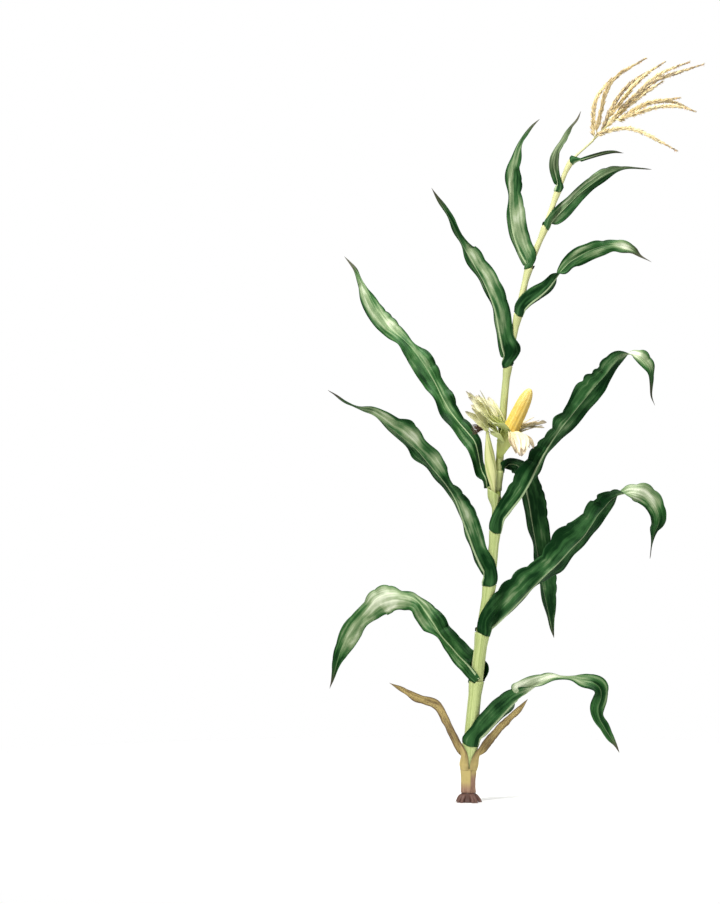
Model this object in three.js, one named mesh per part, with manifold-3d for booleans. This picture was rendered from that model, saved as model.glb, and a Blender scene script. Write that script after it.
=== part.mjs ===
// A tall maize plant in tassel, with an open upper ear and a closed lower ear.
// Millimetres, +Z up, -Y towards the front. The origin is on the flat cut under the stalk, at ground level.
import * as THREE from 'three';
import { mergeVertices } from 'three/addons/utils/BufferGeometryUtils.js';
import Module from 'manifold-3d';

const wasm = await Module();
wasm.setup();

const DEG = Math.PI / 180;
const FRONT_TO_BACK = new THREE.Vector3(0, 1, 0);

// Clearances and thicknesses that the whole plant shares
const GAP = 0.35;
const SPLIT_GAP = 0.5;
const SHEATH_THICKNESS = 2;
const MARGIN_THICKNESS = 2.4;

// The stalk: height and sideways place of each node, and the bare radius there.
// Node 0 is the ground, node 1 carries the two dry leaves, nodes 2 to 14 carry leaves 1 to 13,
// and the last one is the fork of the tassel.
const STALK_NODES = [
  { z: 0, x: 0, r: 22 },
  { z: 112, x: 1, r: 20 },
  { z: 190, x: 6, r: 19 },
  { z: 392, x: 26, r: 18 },
  { z: 549, x: 45, r: 17.5 },
  { z: 708, x: 68, r: 15.5 },
  { z: 881, x: 86, r: 12.5 },
  { z: 1024, x: 96, r: 10.5 },
  { z: 1078, x: 99, r: 10 },
  { z: 1417, x: 128, r: 9 },
  { z: 1586, x: 162, r: 8.5 },
  { z: 1735, x: 197, r: 7.5 },
  { z: 1869, x: 250, r: 6.5 },
  { z: 1989, x: 292, r: 5.5 },
  { z: 2083, x: 335, r: 4.8 },
  { z: 2151, x: 405, r: 4.2 },
];
const DRY_NODE = 1;
const FIRST_LEAF_NODE = 2;
const FORK = STALK_NODES.length - 1;
const STALK_SWAY = 2.5;
const STALK_SIDES = 12;
const ROOT_FLARE = 5;
const ROOT_FLARE_FADE = 16;
const STALK_FOOT_RINGS = [0, 9, 22];

// Prop-root stubs round the foot
const PROP_ROOT_COUNT = 9;
const PROP_ROOT_TOP = 24;
const PROP_ROOT_REACH = 40;
const PROP_ROOT_RADII = [6.5, 6, 5];

// Sheaths: how far below a collar they flare, and how far the next one starts inside
const FLARE_START = 44;
const FLARE_END = 15;
const SHEATH_HALF_WRAP = 165 * DEG;
const DRY_HALF_WRAP = 86 * DEG;
const SHEATH_SEGMENTS = 10;
const DRY_SHEATH_FOOT = 30;

// Blades: a blade bends away from the stalk over its collar zone. Its section opens from the stalk's round
// to a deep fold, and from there to a shallow trough.
const BLADE_HALF_WRAP = 150;
const COLLAR_EASE = 1;
const COLLAR_STRAIGHT = 4;
const COLLAR_ZONE = 26;
const RIB_STEP = 3;
const FOLD = 82 * DEG;
const FOLDED_BY = 42;
const DRY_FOLD = 25 * DEG;
const LEAST_PARTING = 0.3;
const TROUGH_FROM = 0.13;
const TROUGH_SPAN = 0.24;
const LEAF_TROUGH = 26 * DEG;
const DRY_TROUGH = 85 * DEG;

// Near its foot a blade is rolled less, and its front wing is the wider one
const FOOT_ROLL = 0.7;
const ROLL_FROM = 0.6;
const ROLL_SPAN = 1.2;
const ROLL_SPAN_SHARE = 0.05;
const TURN_SPAN = 0.22;
const FRONT_WIDER = 0.4;
const WIDER_SPAN = 0.35;

// The outline and thickness of a blade
const WIDTH_SPAN = 40;
const WIDTH_SPAN_SHARE = 0.24;
const POINT_POWER = 0.75;
const TIP_HALF = 1.4;
const RIB_THICKNESS_SHARE = 0.01;
const RIB_THICKNESS_SPAN = 80;
const BASE_STATIONS = [0, 14, 34, 62, 96];
const STATION_PITCH = 92;
const BASE_SEGMENTS = 8;
const BLADE_SEGMENTS = 4;
const RUFFLE_HEIGHT = 5;
const RUFFLE_FROM = 90;
const RUFFLE_SPAN = 120;
const RUFFLE_PITCH = 38;
const RUFFLE_SHIFT = 2;
const RUFFLE_FULL_HALF = 20;

const RIGHT = 1;
const LEFT = -1;

// The leaves, lowest first. swing turns a leaf away from the front, rise and fall are its slopes before
// and after the bend, roll turns its upper face to the front, and turnTo is the roll past turnAt.
const LEAVES = [
  { side: RIGHT, swing: -22, length: 725, half: 31, rise: 46, fall: 8, tip: -76, bendAt: 0.33,
    bendSpan: 0.22, tipAt: 0.67, tipSpan: 0.24, roll: -52, turnAt: 0.33, turnTo: 50, split: 0.6 },
  { side: LEFT, swing: 26, length: 820, half: 41, rise: 50, fall: -76, tip: -76, bendAt: 0.54,
    bendSpan: 0.62, roll: 60, turnAt: 0.8, turnTo: 60, split: 0.5 },
  { side: RIGHT, swing: 12, length: 1000, half: 44, rise: 43, fall: -114, tip: -98, bendAt: 0.76,
    bendSpan: 0.27, roll: -66, turnAt: 0.74, turnTo: 52, split: 0.76 },
  { side: LEFT, swing: -20, length: 880, half: 35, rise: 67, fall: 14, tip: 34, bendAt: 0.6,
    bendSpan: 0.86, roll: -58, turnAt: 0.42, turnTo: 54 },
  { side: RIGHT, swing: -20, length: 930, half: 39, rise: 52, fall: -106, tip: -88, bendAt: 0.8,
    bendSpan: 0.22, roll: -60, turnAt: 0.82, turnTo: 45, split: 0.79 },
  { side: LEFT, swing: 35, length: 985, half: 38, rise: 62, fall: 46, tip: 56, bendAt: 0.35,
    bendSpan: 0.6, roll: 55, turnAt: 0.62, turnTo: -52, seat: 135, wrap: 65 },
  { side: RIGHT, swing: 52, length: 755, half: 33, rise: 13, fall: -74, tip: -80, bendAt: 0.2,
    bendSpan: 0.2, roll: -15, turnAt: 0.34, turnTo: -52, wrap: 118 },
  { side: LEFT, swing: 14, length: 645, half: 31, rise: 84, fall: 58, tip: 50, bendAt: 0.34,
    bendSpan: 0.9, roll: -62, turnAt: 0.8, turnTo: -55 },
  { side: RIGHT, swing: -18, length: 545, half: 26, rise: 39, fall: -44, tip: -30, bendAt: 0.73,
    bendSpan: 0.62, roll: -54, turnAt: 0.34, turnTo: 54 },
  { side: LEFT, swing: 28, length: 530, half: 27, rise: 64, fall: 131, tip: 137, bendAt: 0.58,
    bendSpan: 0.86, roll: -62, turnAt: 0.8, turnTo: -55 },
  { side: RIGHT, swing: 16, length: 440, half: 23, rise: 42, fall: -5, tip: -8, bendAt: 0.65,
    bendSpan: 0.66, roll: -60, turnAt: 0.8, turnTo: -55 },
  { side: LEFT, swing: -34, length: 298, half: 16, rise: 40, fall: 126, tip: 122, bendAt: 0.24,
    bendSpan: 0.44, roll: -50, turnAt: 0.5, turnTo: -45 },
  { side: RIGHT, swing: -18, length: 175, half: 9, rise: 8, fall: 2, tip: -12, bendAt: 0.5,
    bendSpan: 0.6, roll: -40, turnAt: 0.5, turnTo: -40 },
];
const LOWER_EAR_LEAF = 5;
const LOWER_EAR_BULGE = 32;
const LOWER_EAR_SIDE = 220 * DEG;
const BULGE_START = 85;
const BULGE_END = 36;
const BEND_PER_STATION = 26;
const TIP_AT = 0.88;
const TIP_SPAN = 0.22;

const DRY_LEAVES = [
  { name: 'left', side: LEFT, swing: -16, length: 380, half: 15, rise: 62, fall: 20, tip: 24,
    bendAt: 0.56, bendSpan: 0.4, roll: -30, turnAt: 0.6, turnTo: 40 },
  { name: 'right', side: RIGHT, swing: 16, length: 290, half: 15, rise: 46, fall: 46, tip: 46,
    bendAt: 0.5, bendSpan: 0.5, roll: -60, turnAt: 0.6, turnTo: -60 },
];

// The open upper ear: the shank and husk cup, the bare cob, and the six peeled husks
const UPPER_EAR = {
  foot: new THREE.Vector3(101, -4, 1118),
  knee: new THREE.Vector3(101, -42, 1142),
  lip: new THREE.Vector3(127, -46, 1194),
  tip: new THREE.Vector3(198, -58, 1342),
  footRadius: 9,
  lipRadius: 28,
};
const UPPER_EAR_NODE = 9;
const SHANK_STEPS = 6;
const COB_RADIUS = 26;
const COB_ROWS = 14;
const COB_RINGS = 10;
const HUSKS = [
  { around: 137, swing: 14, side: LEFT, length: 135, half: 14, rise: 76, fall: 56, roll: 45 },
  { around: 191, swing: -4, side: LEFT, length: 158, half: 19, rise: 52, fall: 50, roll: 55 },
  { around: 244, swing: -46, side: LEFT, length: 238, half: 21, rise: 22, fall: 33, roll: 60 },
  { around: 296, swing: -66, side: RIGHT, length: 122, half: 22, rise: 6, fall: -70, roll: -10 },
  { around: 353, swing: -15, side: RIGHT, length: 112, half: 20, rise: 13, fall: -38, roll: -52 },
  { around: 46, swing: 31, side: RIGHT, length: 152, half: 17, rise: 30, fall: 12, roll: -50 },
];
const HUSK_HALF_WRAP = 25 * DEG;
const HUSK_TROUGH = 40 * DEG;

// The closed lower ear and its silk
const LOWER_EAR = {
  foot: new THREE.Vector3(81, -14, 1003),
  belly: new THREE.Vector3(69, -27, 1100),
  neck: new THREE.Vector3(60, -31, 1206),
  radii: [6, 8.5, 13, 17, 18.5, 17.5, 15, 11, 7.5, 5],
};
const LOWER_EAR_NODE = 8;
const EAR_SIDES = 10;
const SPACE_SIDES = 24;
const SILK_STRANDS = 6;
const SILK_LENGTH = 58;
const SILK_START = new THREE.Vector3(0, 0, 2.6);

// The tassel: a central spike and ten side branches
const SPIKE = { length: 408, rise: 47, fall: 20, bendAt: 0.72, bendSpan: 0.44, swing: 0 };
const RACHIS_RADIUS = 3;
const RACHIS_LENGTH = 126;
const BARE_SHARE = 0.2;
const BARE_PITCH = 21;
const BRANCHES = [
  { at: 8, around: 250, swing: -25, length: 317, rise: 23, fall: -29, bendAt: 0.37, bendSpan: 0.72 },
  { at: 12, around: 120, swing: 40, length: 235, rise: 92, fall: 43, bendAt: 0.53, bendSpan: 0.6 },
  { at: 24, around: 218, swing: -32, length: 325, rise: 75, fall: 25, bendAt: 0.55, bendSpan: 0.45 },
  { at: 34, around: 70, swing: 30, length: 300, rise: 69, fall: 30, bendAt: 0.53, bendSpan: 1 },
  { at: 96, around: 300, swing: -35, length: 315, rise: 13, fall: -20, bendAt: 0.7, bendSpan: 0.8 },
  { at: 84, around: 160, swing: 18, length: 292, rise: 50, fall: 32, bendAt: 0.65, bendSpan: 0.5 },
  { at: 106, around: 20, swing: 38, length: 360, rise: 28, fall: -18, bendAt: 0.6, bendSpan: 0.9 },
  { at: 118, around: 240, swing: -16, length: 335, rise: 39, fall: 16, bendAt: 0.5, bendSpan: 0.4 },
  { at: 112, around: 90, swing: 26, length: 225, rise: 38, fall: 30, bendAt: 0.6, bendSpan: 0.8 },
  { at: 100, around: 340, swing: -22, length: 235, rise: 31, fall: 6, bendAt: 0.5, bendSpan: 0.5 },
];
const BRANCH_ZONE = 26;
const SPIKELET_PITCH = 32;
const BRANCH_RADII = [1.7, 7];
const SPIKE_RADII = [RACHIS_RADIUS, 8.5];
const SPIKE_SIDES = 8;
const BRANCH_SIDES = 5;

const materials = {
  stalk: { color: 0xb9c46a, roughness: 0.55 },
  sheath: { color: 0xbcc873, roughness: 0.55 },
  drySheath: { color: 0x8d6a55, roughness: 0.85 },
  leaf: { color: 0x2c6330, roughness: 0.5 },
  dryLeaf: { color: 0xa98a4c, roughness: 0.85 },
  husk: { color: 0xe6dfb4, roughness: 0.7 },
  cob: { color: 0xe8c33a, roughness: 0.4 },
  silk: { color: 0x4b3222, roughness: 0.8 },
  tassel: { color: 0xc7a868, roughness: 0.8 },
};

const plant = new THREE.Group();

function add(name, geometry, finish) {
  const material = new THREE.MeshStandardMaterial({ ...materials[finish], metalness: 0 });
  const mesh = new THREE.Mesh(geometry, material);
  mesh.name = name;
  plant.add(mesh);
}

// Number helpers
function clamp01(value) {
  return Math.min(1, Math.max(0, value));
}

function smooth(value) {
  const x = clamp01(value);
  return x * x * (3 - 2 * x);
}

function mix(a, b, share) {
  return a + (b - a) * share;
}

function turnOver(before, after, middle, span, t) {
  return mix(before, after, smooth((t - middle) / span + 0.5));
}

function twoDigits(number) {
  return String(number).padStart(2, '0');
}

// Closed solids from rings of points
function solid(points, triangles) {
  const geometry = new THREE.BufferGeometry();
  const coordinates = points.flatMap((point) => point.toArray());
  geometry.setAttribute('position', new THREE.Float32BufferAttribute(coordinates, 3));
  geometry.setIndex(signedVolume(points, triangles) < 0 ? triangles.slice().reverse() : triangles);
  return geometry;
}

function signedVolume(points, triangles) {
  const normal = new THREE.Vector3();
  let volume = 0;
  for (let i = 0; i < triangles.length; i += 3) {
    normal.crossVectors(points[triangles[i + 1]], points[triangles[i + 2]]);
    volume += points[triangles[i]].dot(normal) / 6;
  }
  return volume;
}

// A solid through closed loops of equally many points, capped at both ends
function loft(loops) {
  const sides = loops[0].length;
  const points = loops.flat();
  const triangles = [];
  for (let ring = 0; ring + 1 < loops.length; ring += 1) {
    for (let i = 0; i < sides; i += 1) {
      const a = ring * sides + i;
      const b = ring * sides + (i + 1) % sides;
      triangles.push(a, b, b + sides, a, b + sides, a + sides);
    }
  }
  const last = (loops.length - 1) * sides;
  for (let i = 1; i + 1 < sides; i += 1) {
    triangles.push(0, i + 1, i);
    triangles.push(last, last + i, last + i + 1);
  }
  return solid(points, triangles);
}

// A solid strip from stations that each hold an upper and a lower row of points.
// Where a station has half as many segments as the one before, each pair of faces meets in one.
function strip(stations) {
  const points = [];
  const rows = stations.map(({ upper, lower }) => {
    const first = points.length;
    points.push(...upper, ...lower);
    return { up: (i) => first + i, down: (i) => first + upper.length + i, segments: upper.length - 1 };
  });
  const triangles = [];
  const quad = (a, b, c, d) => triangles.push(a, b, c, a, c, d);
  for (let k = 0; k + 1 < rows.length; k += 1) {
    const from = rows[k];
    const to = rows[k + 1];
    if (from.segments === to.segments) {
      for (let i = 0; i < from.segments; i += 1) {
        quad(from.up(i), from.up(i + 1), to.up(i + 1), to.up(i));
        quad(from.down(i + 1), from.down(i), to.down(i), to.down(i + 1));
      }
    } else {
      for (let i = 0; i < to.segments; i += 1) {
        const j = 2 * i;
        triangles.push(from.up(j), from.up(j + 1), to.up(i));
        triangles.push(from.up(j + 1), from.up(j + 2), to.up(i + 1));
        triangles.push(from.up(j + 1), to.up(i + 1), to.up(i));
        triangles.push(from.down(j + 1), from.down(j), to.down(i));
        triangles.push(from.down(j + 2), from.down(j + 1), to.down(i + 1));
        triangles.push(to.down(i + 1), from.down(j + 1), to.down(i));
      }
    }
    quad(from.down(0), from.up(0), to.up(0), to.down(0));
    quad(from.up(from.segments), from.down(from.segments), to.down(to.segments), to.up(to.segments));
  }
  const start = rows[0];
  const end = rows[rows.length - 1];
  for (let i = 0; i < start.segments; i += 1) {
    quad(start.up(i + 1), start.up(i), start.down(i), start.down(i + 1));
  }
  for (let i = 0; i < end.segments; i += 1) {
    quad(end.up(i), end.up(i + 1), end.down(i + 1), end.down(i));
  }
  return solid(points, triangles);
}

// Booleans
function toManifold(geometry) {
  const bare = geometry.clone();
  bare.deleteAttribute('normal');
  bare.deleteAttribute('uv');
  const merged = mergeVertices(bare, 1e-4);
  const vertProperties = Float32Array.from(merged.getAttribute('position').array);
  const triVerts = Uint32Array.from(merged.getIndex().array);
  return new wasm.Manifold(new wasm.Mesh({ numProp: 3, vertProperties, triVerts }));
}

function fromManifold(body) {
  const mesh = body.getMesh();
  const geometry = new THREE.BufferGeometry();
  geometry.setAttribute('position', new THREE.Float32BufferAttribute(mesh.vertProperties, 3));
  geometry.setIndex(Array.from(mesh.triVerts));
  return geometry;
}

function fuse(geometries) {
  return geometries.map(toManifold).reduce((whole, piece) => whole.add(piece));
}

// Rings square to a limb's axis. across points to the right and away to the back on an upright limb.
function ringFrame(point, tangent) {
  const away = FRONT_TO_BACK.clone().addScaledVector(tangent, -tangent.y).normalize();
  const across = new THREE.Vector3().crossVectors(away, tangent);
  return { point, tangent, across, away };
}

function radial(frame, angle) {
  return frame.across.clone().multiplyScalar(Math.cos(angle)).addScaledVector(frame.away, Math.sin(angle));
}

function circle(frame, radius, sides, phase = 0) {
  return Array.from({ length: sides }, (unused, i) => {
    const angle = phase + (i / sides) * 2 * Math.PI;
    return frame.point.clone().addScaledVector(radial(frame, angle), radius);
  });
}

// The stalk's axis, read in node units: 3.5 is halfway between nodes 3 and 4
const stalkAxis = new THREE.CatmullRomCurve3(
  STALK_NODES.map(({ x, z }, i) => new THREE.Vector3(x, i === 0 ? 0 : STALK_SWAY * (i % 2 ? 1 : -1), z)),
);

function stalkAt(place) {
  const share = place / FORK;
  const low = Math.min(FORK - 1, Math.floor(place));
  const radius = mix(STALK_NODES[low].r, STALK_NODES[low + 1].r, place - low);
  const point = stalkAxis.getPoint(share);
  const flare = ROOT_FLARE * Math.exp(-point.z / ROOT_FLARE_FADE);
  return { ...ringFrame(point, stalkAxis.getTangent(share)), radius: radius + flare };
}

function internodeLength(node) {
  const below = STALK_NODES[node - 1];
  return Math.hypot(STALK_NODES[node].z - below.z, STALK_NODES[node].x - below.x);
}

// A place on the stalk that lies some millimetres below a node
function belowNode(node, distance) {
  return node - distance / internodeLength(node);
}

// The places of the rings in the internode under a node, shared by the stalk and the sheath round it
function internodePlaces(node) {
  const length = internodeLength(node);
  const places = [node - 1 + FLARE_END / length];
  if (length > FLARE_START + 2 * FLARE_END) {
    places.push(belowNode(node, FLARE_START));
  }
  if (node === FIRST_LEAF_NODE + LOWER_EAR_LEAF) {
    places.splice(1, 0, belowNode(node, BULGE_START));
  }
  places.push(belowNode(node, FLARE_END), node);
  return places;
}

// Sheath radii at a bare stalk radius: flat facets keep their middles clear of what they wrap
function facetScale(halfWrap, segments) {
  return 1 / Math.cos(halfWrap / segments);
}

function sheathInner(radius, halfWrap = SHEATH_HALF_WRAP, segments = SHEATH_SEGMENTS) {
  return (radius + GAP) * facetScale(halfWrap, segments);
}

function sheathOuter(radius) {
  return sheathInner(radius) + SHEATH_THICKNESS;
}

function stalkBody() {
  const foot = STALK_FOOT_RINGS.map((z) => z / STALK_NODES[DRY_NODE].z);
  const places = [...foot];
  for (let node = 1; node <= FORK; node += 1) {
    places.push(...internodePlaces(node).filter((place) => place > foot[foot.length - 1]));
  }
  const rings = places.map((place) => {
    const frame = stalkAt(place);
    return circle(frame, frame.radius, STALK_SIDES);
  });
  rings[0].forEach((point) => point.setZ(-2));
  return loft(rings);
}

function propRoot(index) {
  const angle = (index / PROP_ROOT_COUNT) * 2 * Math.PI + 0.25 * Math.sin(3 * index);
  const reach = PROP_ROOT_REACH + 3 * Math.sin(5 * index);
  const out = new THREE.Vector3(Math.cos(angle), Math.sin(angle), 0);
  const path = new THREE.QuadraticBezierCurve3(
    out.clone().multiplyScalar(0.4 * reach).setZ(PROP_ROOT_TOP),
    out.clone().multiplyScalar(0.85 * reach).setZ(0.8 * PROP_ROOT_TOP),
    out.clone().multiplyScalar(reach).setZ(-0.3 * PROP_ROOT_TOP),
  );
  const side = new THREE.Vector3(-out.y, out.x, 0);
  const rings = PROP_ROOT_RADII.map((radius, i) => {
    const share = i / (PROP_ROOT_RADII.length - 1);
    const tangent = path.getTangent(share);
    const across = new THREE.Vector3().crossVectors(side, tangent);
    return circle({ point: path.getPoint(share), across, away: side }, radius, 6);
  });
  return loft(rings);
}

function buildStalk() {
  const roots = Array.from({ length: PROP_ROOT_COUNT }, (unused, i) => propRoot(i));
  const below = new THREE.BoxGeometry(200, 200, 60);
  below.translate(0, 0, -30);
  const body = fuse([stalkBody(), ...roots]).subtract(toManifold(below));
  add('stalk', fromManifold(body), 'stalk');
}

// One station of a sheath: an arc of facets round the stalk, with its middle at an angle
function sheathStation(place, inner, thickness, middle, halfWrap, bulge) {
  const frame = stalkAt(place);
  const shift = bulge / 2 / facetScale(halfWrap, SHEATH_SEGMENTS);
  const centre = frame.point.clone().addScaledVector(radial(frame, LOWER_EAR_SIDE), shift);
  const arc = (radius) => Array.from({ length: SHEATH_SEGMENTS + 1 }, (unused, i) => {
    const angle = middle + halfWrap * (2 * i / SHEATH_SEGMENTS - 1);
    return centre.clone().addScaledVector(radial(frame, angle), radius);
  });
  return { upper: arc(inner + bulge / 2), lower: arc(inner + bulge / 2 + thickness) };
}

// The inner radius of the sheath under a node, which flares to clear the foot of the next one
function sheathInnerAt(node, place, halfWrap) {
  const { radius } = stalkAt(place);
  const flared = (sheathOuter(radius) + GAP) * facetScale(halfWrap, SHEATH_SEGMENTS);
  const distance = (node - place) * internodeLength(node);
  const flare = clamp01((FLARE_START - distance) / (FLARE_START - FLARE_END));
  return mix(sheathInner(radius, halfWrap), flared, flare);
}

function sheath(node, middle, halfWrap, foot, bulge = 0) {
  const places = [foot, ...internodePlaces(node).filter((place) => place > foot)];
  const stations = places.map((place) => {
    const inner = sheathInnerAt(node, place, halfWrap);
    const distance = (node - place) * internodeLength(node);
    const bulging = clamp01((BULGE_START - distance) / (BULGE_START - BULGE_END));
    return sheathStation(place, inner, SHEATH_THICKNESS, middle, halfWrap, bulge * bulging);
  });
  return strip(stations);
}

function leafAngle({ side, swing }) {
  return (side === RIGHT ? swing : 180 - swing) * DEG;
}

// The slope of a rib in degrees at a share of its length: it bends from rise to fall, and then to its tip
function ribSlope({ rise, fall, tip = fall, bendAt, bendSpan, tipAt = TIP_AT, tipSpan = TIP_SPAN }, t) {
  return turnOver(turnOver(rise, fall, bendAt, bendSpan, t), tip, tipAt, tipSpan, t);
}

// A rib that starts along one direction and bends over into a rise and a fall in its own upright plane
function ribCurve({ origin, start, angle, length, straight, zone, ...shape }) {
  const direction = (s) => {
    const slope = ribSlope(shape, s / length) * DEG;
    const free = new THREE.Vector3(
      Math.cos(angle) * Math.cos(slope),
      Math.sin(angle) * Math.cos(slope),
      Math.sin(slope),
    );
    return start.clone().lerp(free, smooth((s - straight) / zone)).normalize();
  };
  const count = Math.ceil(length / RIB_STEP);
  const points = [origin.clone()];
  for (let i = 0; i < count; i += 1) {
    points.push(points[i].clone().addScaledVector(direction((i + 0.5) * RIB_STEP), RIB_STEP));
  }
  const pointAt = (s) => {
    const place = s / RIB_STEP;
    const low = Math.min(count - 1, Math.floor(place));
    return points[low].clone().lerp(points[low + 1], place - low);
  };
  return { direction, pointAt };
}

// The outline of a blade: as wide as its collar at the foot, then its own width, then a long point
function bladeHalfWidth(spec, collarHalf, s) {
  const t = s / spec.length;
  const body = mix(collarHalf, spec.half, smooth(s / (WIDTH_SPAN + WIDTH_SPAN_SHARE * spec.length)));
  const point = t < 0.5 ? 1 : Math.cos((t - 0.5) * Math.PI) ** POINT_POWER;
  return Math.max(TIP_HALF, body * point);
}

// How far along a blade its section is folded: further where the blade leaves its limb at a slight angle
function foldedBy(spec, foot) {
  const slope = spec.rise * DEG;
  const free = new THREE.Vector3(Math.cos(spec.angle) * Math.cos(slope), 0, Math.sin(slope));
  const parting = new THREE.Vector3().crossVectors(foot.axis, free).length();
  return FOLDED_BY / Math.max(LEAST_PARTING, parting);
}

function bladeRoll(spec, foot, s) {
  const t = s / spec.length;
  const folded = foldedBy(spec, foot);
  const started = smooth((s - ROLL_FROM * folded) / (ROLL_SPAN * folded + ROLL_SPAN_SHARE * spec.length));
  const eased = mix(FOOT_ROLL, 1, smooth((t - TROUGH_FROM) / TROUGH_SPAN));
  return spec.side * DEG * started * turnOver(eased * spec.roll, spec.turnTo, spec.turnAt, TURN_SPAN, t);
}

// Half the angle of the blade's section, from the foot's own to the fold and then to the trough
function bladeWrap(spec, foot, s) {
  const folded = mix(foot.half / foot.round, spec.fold, clamp01(s / foldedBy(spec, foot)));
  return mix(folded, spec.trough, smooth((s / spec.length - TROUGH_FROM) / TROUGH_SPAN));
}

// How much wider the front wing is than its share, which is what the back wing is narrower
function bladeLean(spec, foot, s) {
  const fading = 1 - smooth((s / spec.length - TROUGH_FROM) / WIDER_SPAN);
  return -spec.side * FRONT_WIDER * smooth(s / foldedBy(spec, foot)) * fading;
}

function bladeThickness(spec, s) {
  const thickest = Math.max(MARGIN_THICKNESS, RIB_THICKNESS_SHARE * spec.length);
  const rib = mix(SHEATH_THICKNESS, thickest, smooth(s / RIB_THICKNESS_SPAN));
  return mix(rib, MARGIN_THICKNESS, smooth(2 * s / spec.length - 1));
}

// A station of a blade: an arc across the rib that opens from the stalk's round to a shallow trough
function bladeStation(spec, rib, foot, s, segments) {
  const tangent = rib.direction(s);
  const freeSide = new THREE.Vector3(-Math.sin(spec.angle), Math.cos(spec.angle), 0);
  const leaving = smooth((s - COLLAR_STRAIGHT) / COLLAR_ZONE);
  const side = foot.side.clone().lerp(freeSide, leaving);
  side.addScaledVector(tangent, -side.dot(tangent)).normalize();
  const face = new THREE.Vector3().crossVectors(tangent, side);
  const roll = bladeRoll(spec, foot, s);
  const across = side.clone().multiplyScalar(Math.cos(roll)).addScaledVector(face, Math.sin(roll));
  const up = face.clone().multiplyScalar(Math.cos(roll)).addScaledVector(side, -Math.sin(roll));
  const half = bladeHalfWidth(spec, foot.half, s);
  const wrap = bladeWrap(spec, foot, s);
  const lean = bladeLean(spec, foot, s);
  const centre = rib.pointAt(s);
  const ribThickness = bladeThickness(spec, s);
  const ruffled = smooth((s - RUFFLE_FROM) / RUFFLE_SPAN);
  const ruffle = RUFFLE_HEIGHT * ruffled * Math.min(1, half / RUFFLE_FULL_HALF);
  const upper = [];
  const lower = [];
  for (let i = 0; i <= segments; i += 1) {
    const u = 2 * i / segments - 1;
    const wider = Math.sign(u) * lean;
    const bend = u * wrap * Math.min(1, 1 + wider);
    const radius = half * Math.max(1, 1 + wider) / wrap;
    const wave = ruffle * u * u * Math.sin(s / RUFFLE_PITCH + (u > 0 ? 0 : RUFFLE_SHIFT));
    const normal = up.clone().multiplyScalar(Math.cos(bend)).addScaledVector(across, -Math.sin(bend));
    const point = centre.clone()
      .addScaledVector(across, radius * Math.sin(bend))
      .addScaledVector(up, radius * (1 - Math.cos(bend)))
      .addScaledVector(normal, wave);
    upper.push(point);
    const thickness = mix(ribThickness, Math.min(ribThickness, MARGIN_THICKNESS), Math.abs(u));
    lower.push(point.clone().addScaledVector(normal, -thickness));
  }
  return { upper, lower };
}

// A blade between two distances from its foot. The foot is an arc round the limb that carries it.
function blade(spec, foot, from, to) {
  const rib = ribCurve({ ...spec, origin: foot.origin, start: foot.axis, straight: COLLAR_STRAIGHT,
    zone: COLLAR_ZONE });
  const lastBase = BASE_STATIONS[BASE_STATIONS.length - 1];
  const distances = BASE_STATIONS.filter((s) => s >= from && s < to);
  let reached = Math.max(from, lastBase);
  if (from >= lastBase) {
    distances.push(from);
  }
  while (to - reached > 1) {
    const ahead = ribSlope(spec, (reached + STATION_PITCH) / spec.length);
    const bend = Math.abs(ahead - ribSlope(spec, reached / spec.length));
    const steps = Math.max(1, Math.ceil(bend / BEND_PER_STATION));
    const remaining = Math.max(1, Math.round((to - reached) / (STATION_PITCH / steps)));
    reached += (to - reached) / remaining;
    distances.push(reached);
  }
  return strip(distances.map((s) => {
    const segments = s <= lastBase ? BASE_SEGMENTS : BLADE_SEGMENTS;
    return bladeStation(spec, rib, foot, s, segments);
  }));
}

// Where a blade starts: an arc of a circle round the limb that carries it, one gap above the rim below
function arcFoot(frame, centre, angle, round, halfWrap) {
  const out = radial(frame, angle);
  const origin = centre.clone().addScaledVector(frame.tangent, GAP).addScaledVector(out, round);
  const side = new THREE.Vector3().crossVectors(frame.tangent, out);
  return { origin, axis: frame.tangent, side, round, half: round * halfWrap };
}

function collarFoot(node, angle, halfWrap, bulge = 0) {
  const frame = stalkAt(node);
  const clear = sheathOuter(frame.radius) + GAP + COLLAR_EASE;
  const round = clear * facetScale(halfWrap, BASE_SEGMENTS) + bulge / 2;
  const centre = frame.point.clone().addScaledVector(radial(frame, LOWER_EAR_SIDE), bulge / 2);
  return arcFoot(frame, centre, angle, round, halfWrap);
}

function buildLeaves() {
  LEAVES.forEach((leaf, index) => {
    const node = FIRST_LEAF_NODE + index;
    const label = twoDigits(index + 1);
    const angle = leafAngle(leaf);
    const bulge = index === LOWER_EAR_LEAF ? LOWER_EAR_BULGE : 0;
    const start = belowNode(node - 1, FLARE_END);
    add(`sheath_${label}`, sheath(node, angle, SHEATH_HALF_WRAP, start, bulge), 'sheath');
    const spec = { ...leaf, angle, fold: FOLD, trough: LEAF_TROUGH };
    const seat = leaf.seat === undefined ? angle : leaf.seat * DEG;
    const foot = collarFoot(node, seat, (leaf.wrap ?? BLADE_HALF_WRAP) * DEG, bulge);
    if (leaf.split) {
      const bend = leaf.split * leaf.length;
      add(`blade_${label}_rise`, blade(spec, foot, 0, bend), 'leaf');
      add(`blade_${label}_fall`, blade(spec, foot, bend + SPLIT_GAP, leaf.length), 'leaf');
    } else {
      add(`blade_${label}`, blade(spec, foot, 0, leaf.length), 'leaf');
    }
  });
}

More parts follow.
